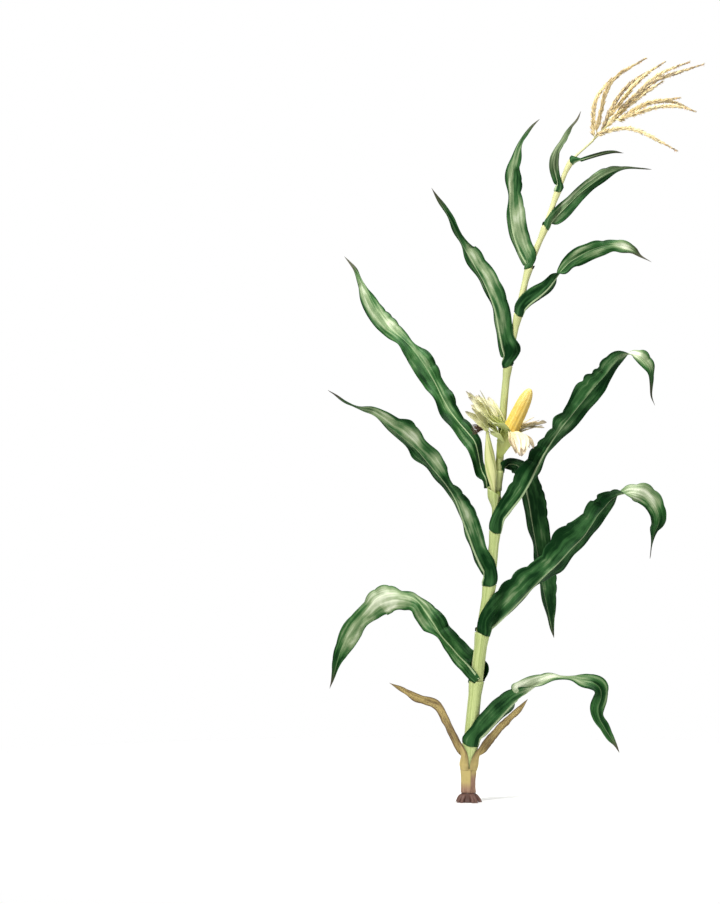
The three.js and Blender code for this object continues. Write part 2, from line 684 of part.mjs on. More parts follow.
function buildDryLeaves() {
  DRY_LEAVES.forEach((leaf) => {
    const angle = leafAngle({ ...leaf, swing: 0 });
    const foot = DRY_SHEATH_FOOT / STALK_NODES[DRY_NODE].z;
    add(`sheath_dry_${leaf.name}`, sheath(DRY_NODE, angle, DRY_HALF_WRAP, foot), 'drySheath');
    const spec = { ...leaf, angle: leafAngle(leaf), fold: DRY_FOLD, trough: DRY_TROUGH };
    const collar = collarFoot(DRY_NODE, angle, DRY_HALF_WRAP);
    add(`blade_dry_${leaf.name}`, blade(spec, collar, 0, leaf.length), 'dryLeaf');
  });
}

// A round limb along a path, with a radius at each of its even steps
function roundLimb(curve, radii, sides, phaseStep = 0) {
  const rings = radii.map((radius, i) => {
    const share = i / (radii.length - 1);
    const frame = ringFrame(curve.getPoint(share), curve.getTangent(share));
    return circle(frame, radius, sides, i * phaseStep);
  });
  return loft(rings);
}

// The space that the sheath under a node takes up, with the gap round it
function sheathSpace(node) {
  const places = [belowNode(node - 1, FLARE_END), ...internodePlaces(node), belowNode(node, -2 * GAP)];
  const rings = places.map((place) => {
    const outer = sheathInnerAt(node, place, SHEATH_HALF_WRAP) + SHEATH_THICKNESS;
    return circle(stalkAt(place), (outer + GAP) / Math.cos(Math.PI / SPACE_SIDES), SPACE_SIDES);
  });
  return toManifold(loft(rings));
}

function buildUpperEar() {
  const ear = UPPER_EAR;
  const shankCurve = new THREE.QuadraticBezierCurve3(ear.foot, ear.knee, ear.lip);
  const radii = Array.from({ length: SHANK_STEPS + 1 }, (unused, i) => (
    mix(ear.footRadius, ear.lipRadius, smooth(i / SHANK_STEPS))
  ));
  const limb = toManifold(roundLimb(shankCurve, radii, EAR_SIDES));
  const shank = limb.subtract(sheathSpace(UPPER_EAR_NODE));
  add('ear_upper_shank', fromManifold(shank), 'husk');

  const axis = shankCurve.getTangent(1);
  const cobFoot = ear.lip.clone().addScaledVector(axis, GAP);
  const cobAxis = new THREE.QuadraticBezierCurve3(
    cobFoot,
    cobFoot.clone().addScaledVector(axis, 0.3 * cobFoot.distanceTo(ear.tip)),
    ear.tip,
  );
  const rings = Array.from({ length: COB_RINGS + 1 }, (unused, k) => {
    const share = k / COB_RINGS;
    const body = share < 0.14 ? mix(0.76, 1, share / 0.14) : Math.sqrt(1 - ((share - 0.14) / 0.88) ** 7);
    const frame = ringFrame(cobAxis.getPoint(share), cobAxis.getTangent(share));
    return Array.from({ length: 2 * COB_ROWS }, (unused2, i) => {
      const kernel = i % 2 ? 1 : 0.93;
      const angle = (i / (2 * COB_ROWS)) * 2 * Math.PI;
      return frame.point.clone().addScaledVector(radial(frame, angle), COB_RADIUS * body * kernel);
    });
  });
  add('ear_upper_cob', loft(rings), 'cob');

  const lip = ringFrame(ear.lip, axis);
  const round = (COB_RADIUS + GAP) * facetScale(HUSK_HALF_WRAP, BASE_SEGMENTS);
  HUSKS.forEach((husk, i) => {
    const foot = arcFoot(lip, ear.lip, husk.around * DEG, round, HUSK_HALF_WRAP);
    const spec = { ...husk, angle: leafAngle(husk), bendAt: 0.4, bendSpan: 0.7, turnAt: 0.6,
      turnTo: husk.roll, fold: HUSK_HALF_WRAP, trough: HUSK_TROUGH };
    add(`ear_upper_husk_${i + 1}`, blade(spec, foot, 0, husk.length), 'husk');
  });
}

function silkStrand(index) {
  const turn = (index / SILK_STRANDS) * 2 * Math.PI;
  const start = LOWER_EAR.neck;
  const out = new THREE.Vector3(-0.55 + 0.35 * Math.cos(turn), 0.35 * Math.sin(turn), 0.7);
  const middle = start.clone().addScaledVector(out, 0.5 * SILK_LENGTH);
  const droop = -0.5 * SILK_LENGTH * (0.7 + 0.3 * Math.cos(turn));
  const end = middle.clone().add(new THREE.Vector3(droop, 10 * Math.sin(turn), 6 * Math.cos(turn)));
  const curve = new THREE.QuadraticBezierCurve3(start.clone().add(SILK_START), middle, end);
  return roundLimb(curve, [3, 2.6, 2, 1.2], 5);
}

function buildLowerEar() {
  const ear = LOWER_EAR;
  const curve = new THREE.QuadraticBezierCurve3(ear.foot, ear.belly, ear.neck);
  const body = toManifold(roundLimb(curve, ear.radii, EAR_SIDES)).subtract(sheathSpace(LOWER_EAR_NODE));
  add('ear_lower', fromManifold(body), 'husk');
  const strands = Array.from({ length: SILK_STRANDS }, (unused, i) => silkStrand(i));
  add('ear_lower_silk', fromManifold(fuse(strands)), 'silk');
}

// A tassel limb: its radius swells at each pair of spikelets past the bare part
function tasselLimb(rib, length, bare, [ribRadius, fullRadius], sides) {
  const beads = Math.max(2, Math.round((length - bare) / SPIKELET_PITCH));
  const bareSteps = Math.max(1, Math.round(bare / BARE_PITCH));
  const stations = [];
  for (let i = 0; i < bareSteps; i += 1) {
    stations.push({ s: bare * i / bareSteps, radius: ribRadius });
  }
  for (let i = 0; i < beads; i += 1) {
    const s = mix(bare, length, i / beads);
    const thin = mix(1, 0.45, i / beads);
    stations.push({ s, radius: ribRadius * thin });
    stations.push({ s: s + 0.45 * SPIKELET_PITCH, radius: fullRadius * thin });
  }
  stations.push({ s: length, radius: 0.35 * ribRadius });
  const first = rib.direction(0);
  let across = Math.abs(first.z) > 0.9 ? new THREE.Vector3(1, 0, 0) : new THREE.Vector3(0, 0, 1);
  const rings = stations.map(({ s, radius }, i) => {
    const tangent = rib.direction(s);
    across = across.clone().addScaledVector(tangent, -across.dot(tangent)).normalize();
    const away = new THREE.Vector3().crossVectors(tangent, across);
    return circle({ point: rib.pointAt(s), across, away }, radius, sides, i * 0.5);
  });
  return loft(rings);
}

function buildTassel() {
  const fork = stalkAt(FORK);
  const spikeRib = ribCurve({ ...SPIKE, origin: fork.point.clone().addScaledVector(fork.tangent, GAP),
    start: fork.tangent, angle: leafAngle({ side: RIGHT, swing: SPIKE.swing }), straight: 0, zone: 60 });
  const spike = tasselLimb(spikeRib, SPIKE.length, RACHIS_LENGTH, SPIKE_RADII, SPIKE_SIDES);
  add('tassel_spike', spike, 'tassel');
  BRANCHES.forEach((branch, i) => {
    const seat = ringFrame(spikeRib.pointAt(branch.at), spikeRib.direction(branch.at));
    const out = radial(seat, branch.around * DEG);
    const rib = ribCurve({ ...branch, origin: seat.point.clone().addScaledVector(out, RACHIS_RADIUS + GAP),
      start: out, angle: branch.swing * DEG, straight: 0, zone: BRANCH_ZONE });
    const limb = tasselLimb(rib, branch.length, BARE_SHARE * branch.length, BRANCH_RADII, BRANCH_SIDES);
    add(`tassel_branch_${twoDigits(i + 1)}`, limb, 'tassel');
  });
}

buildStalk();
buildDryLeaves();
buildLeaves();
buildUpperEar();
buildLowerEar();
buildTassel();

export default plant;
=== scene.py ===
"""The looks of a tall maize plant in tassel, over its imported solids.

Shapes are worked out in millimetres, by the source's own rules carried to finer detail, and become metres
where a mesh is made. +Z is up and -Y is the front.
"""
import math
from types import SimpleNamespace

import bpy
import numpy as np
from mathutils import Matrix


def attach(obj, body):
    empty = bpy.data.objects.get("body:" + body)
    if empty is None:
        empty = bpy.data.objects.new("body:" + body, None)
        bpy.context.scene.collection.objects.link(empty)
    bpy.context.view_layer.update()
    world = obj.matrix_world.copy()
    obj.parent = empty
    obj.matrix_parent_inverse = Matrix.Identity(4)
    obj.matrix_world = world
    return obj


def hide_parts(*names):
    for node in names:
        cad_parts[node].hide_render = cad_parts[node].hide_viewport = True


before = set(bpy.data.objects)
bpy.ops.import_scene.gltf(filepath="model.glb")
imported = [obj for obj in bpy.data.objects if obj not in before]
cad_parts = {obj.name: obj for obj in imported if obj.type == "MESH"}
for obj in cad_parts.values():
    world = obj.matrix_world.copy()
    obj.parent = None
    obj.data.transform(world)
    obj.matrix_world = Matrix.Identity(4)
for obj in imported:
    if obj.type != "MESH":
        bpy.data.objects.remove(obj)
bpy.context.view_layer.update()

CAMERA_SPOT = (-352.6, -11017, 1137.5)
MM = 0.001
DEG = math.pi / 180
TAU = 2 * math.pi
RIGHT = 1
LEFT = -1

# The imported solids' own sizes
GAP = 0.35
SHEATH_THICKNESS = 2
STALK_NODES = np.array([
    (0, 0, 22), (112, 1, 20), (190, 6, 19), (392, 26, 18), (549, 45, 17.5), (708, 68, 15.5),
    (881, 86, 12.5), (1024, 96, 10.5), (1078, 99, 10), (1417, 128, 9), (1586, 162, 8.5),
    (1735, 197, 7.5), (1869, 250, 6.5), (1989, 292, 5.5), (2083, 335, 4.8), (2151, 405, 4.2),
])
FIRST_LEAF_NODE = 2
FORK = len(STALK_NODES) - 1
STALK_SWAY = 2.5
ROOT_FLARE = 5
ROOT_FLARE_FADE = 16
FLARE_START = 44
FLARE_END = 15
SHEATH_HALF_WRAP = 165 * DEG
DRY_HALF_WRAP = 86 * DEG
SHEATH_SEGMENTS = 10
DRY_SHEATH_FOOT = 30
COLLAR_EASE = 1
COLLAR_STRAIGHT = 4
COLLAR_ZONE = 26
COLLAR_SEGMENTS = 8
RIB_STEP = 3
FOLDED_BY = 42
LEAST_PARTING = 0.3
TROUGH_FROM = 0.13
TROUGH_SPAN = 0.24
FOOT_ROLL = 0.7
ROLL_FROM = 0.6
ROLL_SPAN = 1.2
ROLL_SPAN_SHARE = 0.05
FRONT_WIDER = 0.4
WIDER_SPAN = 0.35
WIDTH_SPAN = 40
WIDTH_SPAN_SHARE = 0.24
POINT_POWER = 0.75
RUFFLE_FROM = 90
RUFFLE_SPAN = 120
RUFFLE_PITCH = 38
RUFFLE_SHIFT = 2
RUFFLE_FULL_HALF = 20
TIP_AT = 0.88
TIP_SPAN = 0.22
LOWER_EAR_LEAF = 5
LOWER_EAR_BULGE = 32
LOWER_EAR_SIDE = 220 * DEG
BULGE_START = 85
BULGE_END = 36

# The leaves' margins and feet
MARGIN_LOBES = (45, 75)
BLADE_POINTS = 29
BLADE_STEP = 5.0
FOOT_LAP = 8
FOOT_SPARE = 2.2
WING_CROWN = 0.07
WING_TURN = 0.4
STALK_CLEARANCE = 1.8

# The sheaths' skins
SHEATH_OVERLAP = 14 * DEG
SHEATH_SKIN = 1.1
SHEATH_LAP = 1.15
SHEATH_COUNT = 61
SHEATH_STEP = 7
EAR_BULGE = 23
EAR_RIM_DROP = 44
EAR_RIM_SEAT = 160 * DEG
DRY_RIM_DROP = 3
DRY_LAP = 22 * DEG
DRY_LAP_HEIGHT = 1.4


def named(names, *table):
    """Rows of values under their names"""
    return [SimpleNamespace(**dict(zip(names.split(), row))) for row in table]


# tone is how light a leaf is. seat and wrap say where its foot sits and how far it wraps the stalk, in
# degrees, parting is where its two wings part, and bulk keeps it off the sheath.
USUAL_LEAF = dict(seat=None, wrap=150, parting=0, bulk=3, front_wrap=1, leaving=1.3, corner=11, lobed=2.5,
                  tip_from=0.9, dried=0, split=False)
LEAVES = named(
    "tone swing length half own",
    (0.08, -22, 725, 31, dict(split=True)),
    (0.24, 26, 820, 41, dict(split=True, parting=-0.5, bulk=4, front_wrap=0.42, leaving=0.5)),
    (0.05, 12, 1000, 44, dict(split=True, lobed=6.5)),
    (0.2, -20, 880, 35, {}),
    (0.1, -20, 930, 39, dict(split=True, lobed=7.5)),
    (0.16, 35, 985, 38, dict(seat=135, wrap=65)),
    (0.04, 52, 755, 33, dict(wrap=118)),
    (0.24, 14, 645, 31, dict(bulk=9, tip_from=0.82)),
    (0.14, -18, 545, 26, dict(tip_from=0.8)),
    (0.34, 28, 530, 27, dict(bulk=5, tip_from=0.84)),
    (0.32, 16, 440, 23, dict(tip_from=0.75)),
    (0.28, -34, 298, 16, dict(tip_from=0.45, dried=0.4)),
    (0.2, -18, 175, 9, dict(tip_from=0.5, dried=0.35)),
)
DRY_LEAF = dict(USUAL_LEAF, half=19, corner=0, leaving=2.2)
DRY_LEAVES = named("name side swing", ("left", LEFT, -16), ("right", RIGHT, 16))

# Each leaf's painted highlights and painted shade, five numbers each, in hundredths: the share along and its
# span, the place across from -100 to 100 and its span, and by how much, lighter where positive and darker
# where negative.
LEAF_PAINTED_LIGHT_AND_SHADE = [
    [31, 5, 80, 50, 80, 42, 10, 30, 150, 75, 60, 7, 20, 150, 40, 72, 6, -60, 50, -30, 76, 6, 70, 50, 30,
     13, 8, -50, 40, 12],
    [52, 7.5, 10, 130, 62, 40, 6, -60, 40, 35, 62, 8, 0, 80, 30, 76, 8, 30, 60, 35, 46, 3, -70, 50, -35,
     14, 14, -60, 50, -40, 33, 5, 60, 40, 30, 93, 8, 0, 150, -30],
    [73, 6, 0, 150, 75, 80, 4, 30, 60, 45, 86, 4, 60, 40, -20, 30, 5, -60, 35, 20, 12, 6, -50, 30, 14,
     50, 5, -40, 40, 12],
    [50, 5, 60, 35, 40, 62, 5, 55, 40, 50, 74, 5, 50, 50, 40, 22, 12, 50, 35, 22, 6, 6, 50, 150, -20,
     42, 3, 20, 150, -20, 56, 3, 40, 40, -15, 84, 5, 0, 150, 25],
    [79, 4, 10, 150, 78, 86, 3, 30, 80, 45, 62, 4, -30, 40, 18, 42, 4, 50, 40, 16, 70, 3, -50, 40, 15,
     93, 5, 0, 150, -10],
    [74, 10, 40, 80, 38, 68, 5, -30, 50, 25, 87, 6, 30, 80, 30, 20, 9, -70, 50, -45, 45, 12, 10, 50, 12,
     60, 3, 70, 50, -40, 5, 6, 0, 150, -20, 15, 6, 70, 30, 20],
    [50, 12, -50, 30, 10, 20, 4, -60, 30, 12],
    [5, 6, 40, 150, -25, 30, 12, 45, 30, 22, 58, 8, 40, 40, 42, 78, 10, 0, 150, -30, 45, 6, 35, 30, 20],
    [14, 16, -40, 150, -15, 55, 12, 50, 50, 30, 60, 12, -40, 35, 32, 80, 7, 20, 80, 60,
     93, 5, 0, 150, -30],
    [34, 10, 40, 35, 42, 20, 8, 50, 35, 25, 55, 6, -20, 40, 30, 62, 8, 80, 40, -40, 90, 10, 0, 150, -25],
    [40, 30, -60, 45, 30, 35, 30, 60, 45, -30, 6, 5, 0, 150, 10],
    [45, 20, -50, 50, 30, 75, 6, 0, 60, -40, 6, 6, 0, 150, -20],
    [50, 30, 0, 150, -10],
]

# Every leaf as it is seen from the front, four numbers to a point, in millimetres: the rib's x and z, and how
# far each margin stands off it in that view, the outer side of the bow positive. The first margin is the one
# in front on a right leaf.
LEAF_TRACES = [
    [24, 192, 42, -3, 63, 231, 55, -6, 102, 273, 55, -8, 141, 315, 52, -6, 171, 341, 34, 49,
     197, 361, 10, 44, 229, 384, -6, 31, 281, 405, -8, 13, 330, 405, -13, 10, 369, 396, -21, 16,
     401, 390, -23, 26, 427, 370, -24, 29, 431, 341, -26, 18, 421, 306, -26, 20, 424, 276, -21, 16,
     440, 244, -15, 18, 463, 208, -13, 11, 478, 185, -5, 5, 491, 159, 0, 0],
    [42, 390, 28, -16, 24, 413, 52, -26, -2, 445, 49, -29, -29, 471, 46, -28, -60, 507, 44, -18,
     -89, 540, 41, -16, -115, 582, 41, -39, -138, 616, 31, -41, -161, 647, 20, -36, -187, 665, 23, -46,
     -223, 673, 18, -49, -262, 673, 29, -60, -297, 660, 29, -62, -327, 627, 24, -46, -356, 593, 26, -32,
     -382, 559, 29, -39, -405, 517, 24, -36, -422, 471, 18, -21, -434, 426, 10, -8, -444, 393, 4, -4,
     -452, 367, 0, 0],
    [60, 552, 54, -3, 115, 601, 75, -5, 174, 661, 76, -6, 226, 715, 67, -6, 255, 743, 55, -16,
     286, 771, 60, -32, 330, 819, 72, -16, 374, 863, 67, -20, 395, 894, 50, -26, 418, 930, 44, -26,
     440, 956, 44, -24, 463, 982, 34, -17, 481, 995, 20, -4, 495, 1000, 5, 10, 510, 1003, -10, 16,
     536, 1008, -26, 24, 567, 1001, -33, 34, 596, 975, -30, 34, 616, 939, -28, 26, 618, 907, -24, 16,
     606, 878, -13, 10, 596, 842, -6, 5, 590, 790, 0, 0],
    [67, 722, -10, 34, 42, 764, -10, 47, 21, 809, -8, 42, 2, 861, -10, 46, -18, 916, -8, 49,
     -34, 962, -8, 41, -50, 998, -10, 24, -70, 1029, -10, 16, -99, 1063, -15, 39, -132, 1102, -16, 50,
     -162, 1138, -28, 42, -190, 1164, -18, 52, -223, 1191, -11, 60, -255, 1216, -6, 42, -288, 1242, -6, 34,
     -318, 1263, -4, 24, -353, 1276, -3, 8, -395, 1297, -3, 5, -457, 1339, 0, 0],
    [102, 904, 39, -3, 135, 946, 46, -5, 171, 991, 52, -4, 200, 1040, 52, -4, 226, 1095, 42, -10,
     255, 1147, 36, -20, 284, 1193, 28, -20, 314, 1232, 36, -31, 343, 1268, 32, -36, 374, 1306, 42, -36,
     398, 1336, 46, -36, 421, 1362, 42, -34, 444, 1388, 34, -26, 466, 1417, 36, -21, 489, 1440, 26, -13,
     507, 1451, 15, -2, 521, 1455, 2, 9, 537, 1456, -13, 16, 561, 1443, -20, 26, 580, 1424, -18, 21,
     592, 1398, -9, 10, 594, 1355, -5, 4, 596, 1316, -3, 3, 606, 1289, 0, 0],
    [60, 1034, 26, -26, 41, 1086, 16, -24, 32, 1128, 18, -28, 21, 1170, 21, -37, -5, 1204, 26, -36,
     -34, 1237, 21, -32, -62, 1274, 31, -31, -88, 1320, 37, -31, -110, 1365, 28, -37, -135, 1407, 34, -41,
     -161, 1446, 34, -39, -187, 1479, 21, -34, -214, 1506, 24, -24, -242, 1531, 26, -31,
     -271, 1566, 24, -39, -301, 1609, 15, -39, -322, 1648, 8, -34, -343, 1687, 5, -18, -366, 1729, 5, -8,
     -385, 1752, 3, -3, -403, 1773, 0, 0],
    [115, 1079, 32, -20, 132, 1098, 20, -28, 158, 1095, 22, -30, 180, 1066, 39, -24, 187, 1020, 50, -16,
     197, 972, 55, -20, 206, 916, 52, -18, 216, 858, 49, -15, 226, 800, 49, -11, 236, 738, 49, -10,
     247, 676, 39, -11, 258, 624, 26, -10, 268, 575, 11, -5, 278, 533, 0, 0],
    [122, 1433, -13, 49, 112, 1469, -13, 58, 104, 1508, -11, 42, 96, 1550, -10, 46, 86, 1599, -10, 47,
     70, 1644, -11, 50, 50, 1690, -13, 47, 24, 1736, -15, 42, -2, 1781, -13, 36, -21, 1815, -8, 20,
     -39, 1852, -8, 13, -60, 1895, -6, 13, -83, 1935, -5, 10, -102, 1966, -3, 5, -120, 1996, 0, 0],
    [174, 1589, 36, -3, 200, 1618, 41, -5, 232, 1643, 41, -8, 258, 1667, 32, -11, 276, 1690, 23, -6,
     289, 1711, 15, 6, 304, 1729, -16, 16, 327, 1753, -23, 24, 359, 1774, -31, 28, 395, 1792, -31, 26,
     434, 1805, -29, 21, 470, 1810, -21, 18, 505, 1804, -21, 21, 535, 1791, -11, 15, 557, 1776, -5, 5,
     595, 1755, 0, 0],
    [197, 1736, -13, 31, 180, 1762, -11, 44, 162, 1799, -11, 47, 148, 1840, -13, 50, 140, 1885, -13, 47,
     136, 1930, -11, 46, 136, 1976, -13, 36, 138, 2022, -15, 36, 145, 2064, -16, 21, 154, 2100, -11, 15,
     166, 2132, -8, 11, 184, 2168, -6, 10, 205, 2195, -3, 5, 232, 2220, 0, 0],
    [262, 1878, 18, -13, 284, 1901, 23, -26, 307, 1924, 24, -29, 333, 1950, 21, -26, 359, 1976, 20, -23,
     387, 1999, 20, -20, 418, 2022, 20, -18, 447, 2041, 20, -16, 479, 2053, 15, -11, 512, 2060, 8, -6,
     544, 2061, 3, -3, 596, 2056, 0, 0],
    [294, 1999, -10, 11, 286, 2028, -15, 13, 278, 2064, -16, 16, 280, 2093, -15, 14, 289, 2119, -10, 10,
     304, 2145, -8, 10, 320, 2171, -8, 10, 336, 2197, -5, 6, 353, 2220, -3, 4, 366, 2246, 0, 0],
    [353, 2082, 6, -6, 385, 2093, 7, -6, 418, 2103, 7, -6, 450, 2111, 6, -6, 476, 2113, 4, -4,
     505, 2109, 0, 0],
]
DRY_TRACES = [
    [-11, 117, -13, 13, -23, 162, -13, 15, -41, 198, -13, 13, -63, 240, -11, 13, -83, 283, -12, 15,
     -102, 312, -15, 16, -135, 328, -13, 15, -171, 340, -13, 13, -200, 356, -9, 10, -223, 370, -7, 7,
     -258, 388, 0, 0],
    [18, 124, 12, -12, 40, 162, 14, -13, 60, 190, 15, -14, 83, 219, 14, -13, 112, 251, 12, -11,
     142, 280, 11, -10, 170, 307, 8, -8, 193, 335, 0, 0],
]

UPPER_EAR = SimpleNamespace(foot=(101, -4, 1118), knee=(101, -42, 1142), lip=(127, -46, 1194),
                            tip=(198, -58, 1342), foot_radius=9, lip_radius=28)
COB_RADIUS = 26
COB_ROWS = 14
KERNELS = 38
KERNEL_HEIGHT = 2.6
HUSKS = named(
    "around swing side length half rise fall roll",
    (137, 14, LEFT, 135, 14, 76, 56, 45), (191, -4, LEFT, 158, 19, 52, 50, 55),
    (244, -46, LEFT, 238, 21, 22, 33, 60), (296, -66, RIGHT, 122, 22, 6, -70, -10),
    (353, -15, RIGHT, 88, 22, 6, -50, -42), (46, 31, RIGHT, 152, 17, 30, 12, -50),
)
HUSK_BEND = dict(bend_at=0.32, bend_span=0.6)
HUSK_LAYERS = {LEFT: 8, RIGHT: 9}
MAIN_HUSK_WIDER = {LEFT: 1.4, RIGHT: 1.6}
MAIN_HUSK_SHORTER = 0.93
LAYER_STEP = 0.9
HUSK_STRAIGHT = 1
HUSK_ZONE = 16
HUSK_TURN_AT = 0.6
HUSK_TURN_SPAN = 0.22
HUSK_HALF_WRAP = 25 * DEG
HUSK_TROUGH = 40 * DEG
# The left husks' layers past this one part from the upper ear lower down, at this ring of its cup
LAST_HIGH_LAYER = 5
LOW_HUSK = 34

LOWER_EAR = SimpleNamespace(foot=(81, -14, 1003), belly=(69, -27, 1100), neck=(60, -31, 1206),
                            radii=(6, 8.5, 13, 17, 18.5, 17.5, 15, 11, 7.5, 5))
SILK_LENGTH = 76
SILK_STRANDS = 110

SPIKE = SimpleNamespace(length=408, rise=47, fall=20, bend_at=0.72, bend_span=0.44)
SPIKE_BARE = 63
SPIKE_ZONE = 60
RACHIS_RADIUS = 3
BRANCH_RADIUS = 1.6
BRANCH_BARE = 0.05
BRANCH_ZONE = 26
BRANCHES = named(
    "at around swing length rise fall bend_at bend_span",
    (8, 250, -25, 317, 23, -29, 0.37, 0.72), (12, 120, 40, 235, 92, 43, 0.53, 0.6),
    (24, 218, -32, 325, 75, 25, 0.55, 0.45), (34, 70, 30, 300, 69, 30, 0.53, 1),
    (96, 300, -35, 315, 13, -20, 0.7, 0.8), (84, 160, 18, 292, 50, 32, 0.65, 0.5),
    (106, 20, 38, 360, 28, -18, 0.6, 0.9), (118, 240, -16, 335, 39, 16, 0.5, 0.4),
    (112, 90, 26, 225, 38, 30, 0.6, 0.8), (100, 340, -22, 235, 31, 6, 0.5, 0.5),
)
SPIKELET_PITCH = 2.6
SPIKELET_LENGTHS = (15.0, 23.0)
SPIKELET_RADII = (1.7, 2.5)
LIMB_TINT_CHANCE = 0.6
TIP_TINT_CHANCE = 0.6
ANTHER_CHANCE = 0.16
ANTHER_LENGTHS = (4.5, 6.5)
ANTHER_RADIUS = 0.75
STALK_SIDES = 48
EAR_SIDES = 96
PROP_ROOT_SIDES = 14
PROP_ROOT_COUNT = 9
PROP_ROOT_TOP = 24
PROP_ROOT_REACH = 40
FLOOR_RADIUS = 3.2
FLOOR_FADE = (0.7, 2.6)

# How much of the bake map the forms fill, how much of its band a form fills, and where its ends go
MAP_FILLED = 0.98
BAND_FILLED = 0.995
MAP_CORNER = 0.99


# Numbers and vectors
def smooth(value):
    x = np.clip(value, 0, 1)
    return x * x * (3 - 2 * x)


def ramp(value, start, span):
    return smooth((value - start) / span)


def mix(a, b, share):
    return a + (b - a) * share


def turn_over(before, after, middle, span, t):
    return mix(before, after, smooth((t - middle) / span + 0.5))


def unit(vectors):
    return vectors / np.linalg.norm(vectors, axis=-1, keepdims=True)


def square_to(vectors, axis):
    """The parts of the vectors square to an axis, as unit vectors"""
    return unit(vectors - axis * np.sum(vectors * axis, axis=-1, keepdims=True))


def stacked(*parts):
    return np.stack(np.broadcast_arrays(*parts), -1)


def there_and_back(values):
    return np.concatenate([values, values[:, ::-1]], 1)


def turns(count):
    return np.arange(count) / count * TAU


def wander(rng, shortest, longest, count=4):
    """A smooth random wave of mean height about 0.7, its lengths between two limits"""
    lengths = rng.uniform(shortest, longest, count)
    phases = rng.uniform(0, TAU, count)

    def wave(x):
        x = np.asarray(x, dtype=float)[..., None]
        return np.sin(TAU * x / lengths + phases).sum(-1) / math.sqrt(count)

    return wave


def lobes(rng, shortest, longest):
    """A row of round lobes of uneven lengths with notches between them, from -1 to 1"""
    drift = wander(rng, 3 * longest, 6 * longest, 3)
    pitch = rng.uniform(shortest, longest)
    start = rng.uniform(0, TAU)
    size = wander(rng, 2 * longest, 4 * longest, 2)

    def wave(x):
        lobe = np.abs(np.sin(math.pi * x / pitch + 1.3 * drift(x) + start)) ** 0.75
        return (2 * lobe - 1) * (0.7 + 0.3 * size(x))

    return wave


def crumple(rng, shortest, longest, count=7):
    """A smooth random relief over two directions"""
    lengths = rng.uniform(shortest, longest, count)
    ways = rng.uniform(0, math.pi, count)
    phases = rng.uniform(0, TAU, count)

    def relief(x, y):
        place = x[..., None] * np.cos(ways) + y[..., None] * np.sin(ways)
        return np.sin(TAU * place / lengths + phases).sum(-1) / math.sqrt(count)

    return relief


def bezier(a, b, c, t):
    a, b, c = (np.asarray(point, dtype=float) for point in (a, b, c))
    t = t[..., None]
    point = (1 - t) ** 2 * a + 2 * t * (1 - t) * b + t ** 2 * c
    return point, unit((1 - t) * (b - a) + t * (c - b))


def spline(points, share):
    """A centripetal Catmull-Rom curve through points, at shares of its number of spans"""
    place = (len(points) - 1) * np.clip(share, 0, 1)
    low = np.minimum(np.floor(place).astype(int), len(points) - 2)
    w = (place - low)[:, None]
    padded = np.vstack([2 * points[0] - points[1], points, 2 * points[-1] - points[-2]])
    p = [padded[low + k] for k in range(4)]
    d0, d1, d2 = (np.linalg.norm(p[k + 1] - p[k], axis=1, keepdims=True) ** 0.5 for k in range(3))
    t1 = ((p[1] - p[0]) / d0 - (p[2] - p[0]) / (d0 + d1) + (p[2] - p[1]) / d1) * d1
    t2 = ((p[2] - p[1]) / d1 - (p[3] - p[1]) / (d1 + d2) + (p[3] - p[2]) / d2) * d1
    rise = p[2] - p[1]
    return p[1] + w * (t1 + w * ((3 * rise - 2 * t1 - t2) + w * (t1 + t2 - 2 * rise)))


# The stalk's own line, and the frames along a limb
AXIS_POINTS = np.array([
    (x, 0 if i == 0 else STALK_SWAY * (1 if i % 2 else -1), z) for i, (z, x, _) in enumerate(STALK_NODES)
])


def ring_frame(point, tangent):
    """Directions square to a limb: across points right and away to the back on an upright limb"""
    away = square_to(np.broadcast_to((0.0, 1.0, 0.0), tangent.shape), tangent)
    return SimpleNamespace(point=point, tangent=tangent, across=np.cross(away, tangent), away=away)


def stalk_at(place):
    place = np.atleast_1d(np.asarray(place, dtype=float))
    share = place / FORK
    point = spline(AXIS_POINTS, share)
    tangent = unit(spline(AXIS_POINTS, share + 1e-4) - spline(AXIS_POINTS, share - 1e-4))
    found = ring_frame(point, tangent)
    bare = np.interp(place, np.arange(FORK + 1), STALK_NODES[:, 2])
    found.radius = bare + ROOT_FLARE * np.exp(-point[:, 2] / ROOT_FLARE_FADE)
    return found


def one_of(found, index):
    return SimpleNamespace(**{key: value[index] for key, value in vars(found).items()})


def outward(found, angle):
    """A direction out of a limb at one place"""
    return found.across * math.cos(angle) + found.away * math.sin(angle)


def circle(a, b, angle):
    """Directions at angles from a towards b, for one ring or an array of rings"""
    return a[..., None, :] * np.cos(angle)[..., None] + b[..., None, :] * np.sin(angle)[..., None]


def around_limb(found, angle, radius):
    return found.point[:, None, :] + circle(found.across, found.away, angle) * radius[..., None]


def internode_length(node):
    return math.hypot(*(STALK_NODES[node, :2] - STALK_NODES[node - 1, :2]))


def facet_scale(half_wrap, segments):
    return 1 / math.cos(half_wrap / segments)


def sheath_inner(radius, half_wrap=SHEATH_HALF_WRAP):
    return (radius + GAP) * facet_scale(half_wrap, SHEATH_SEGMENTS)


def sheath_outer(radius):
    return sheath_inner(radius) + SHEATH_THICKNESS


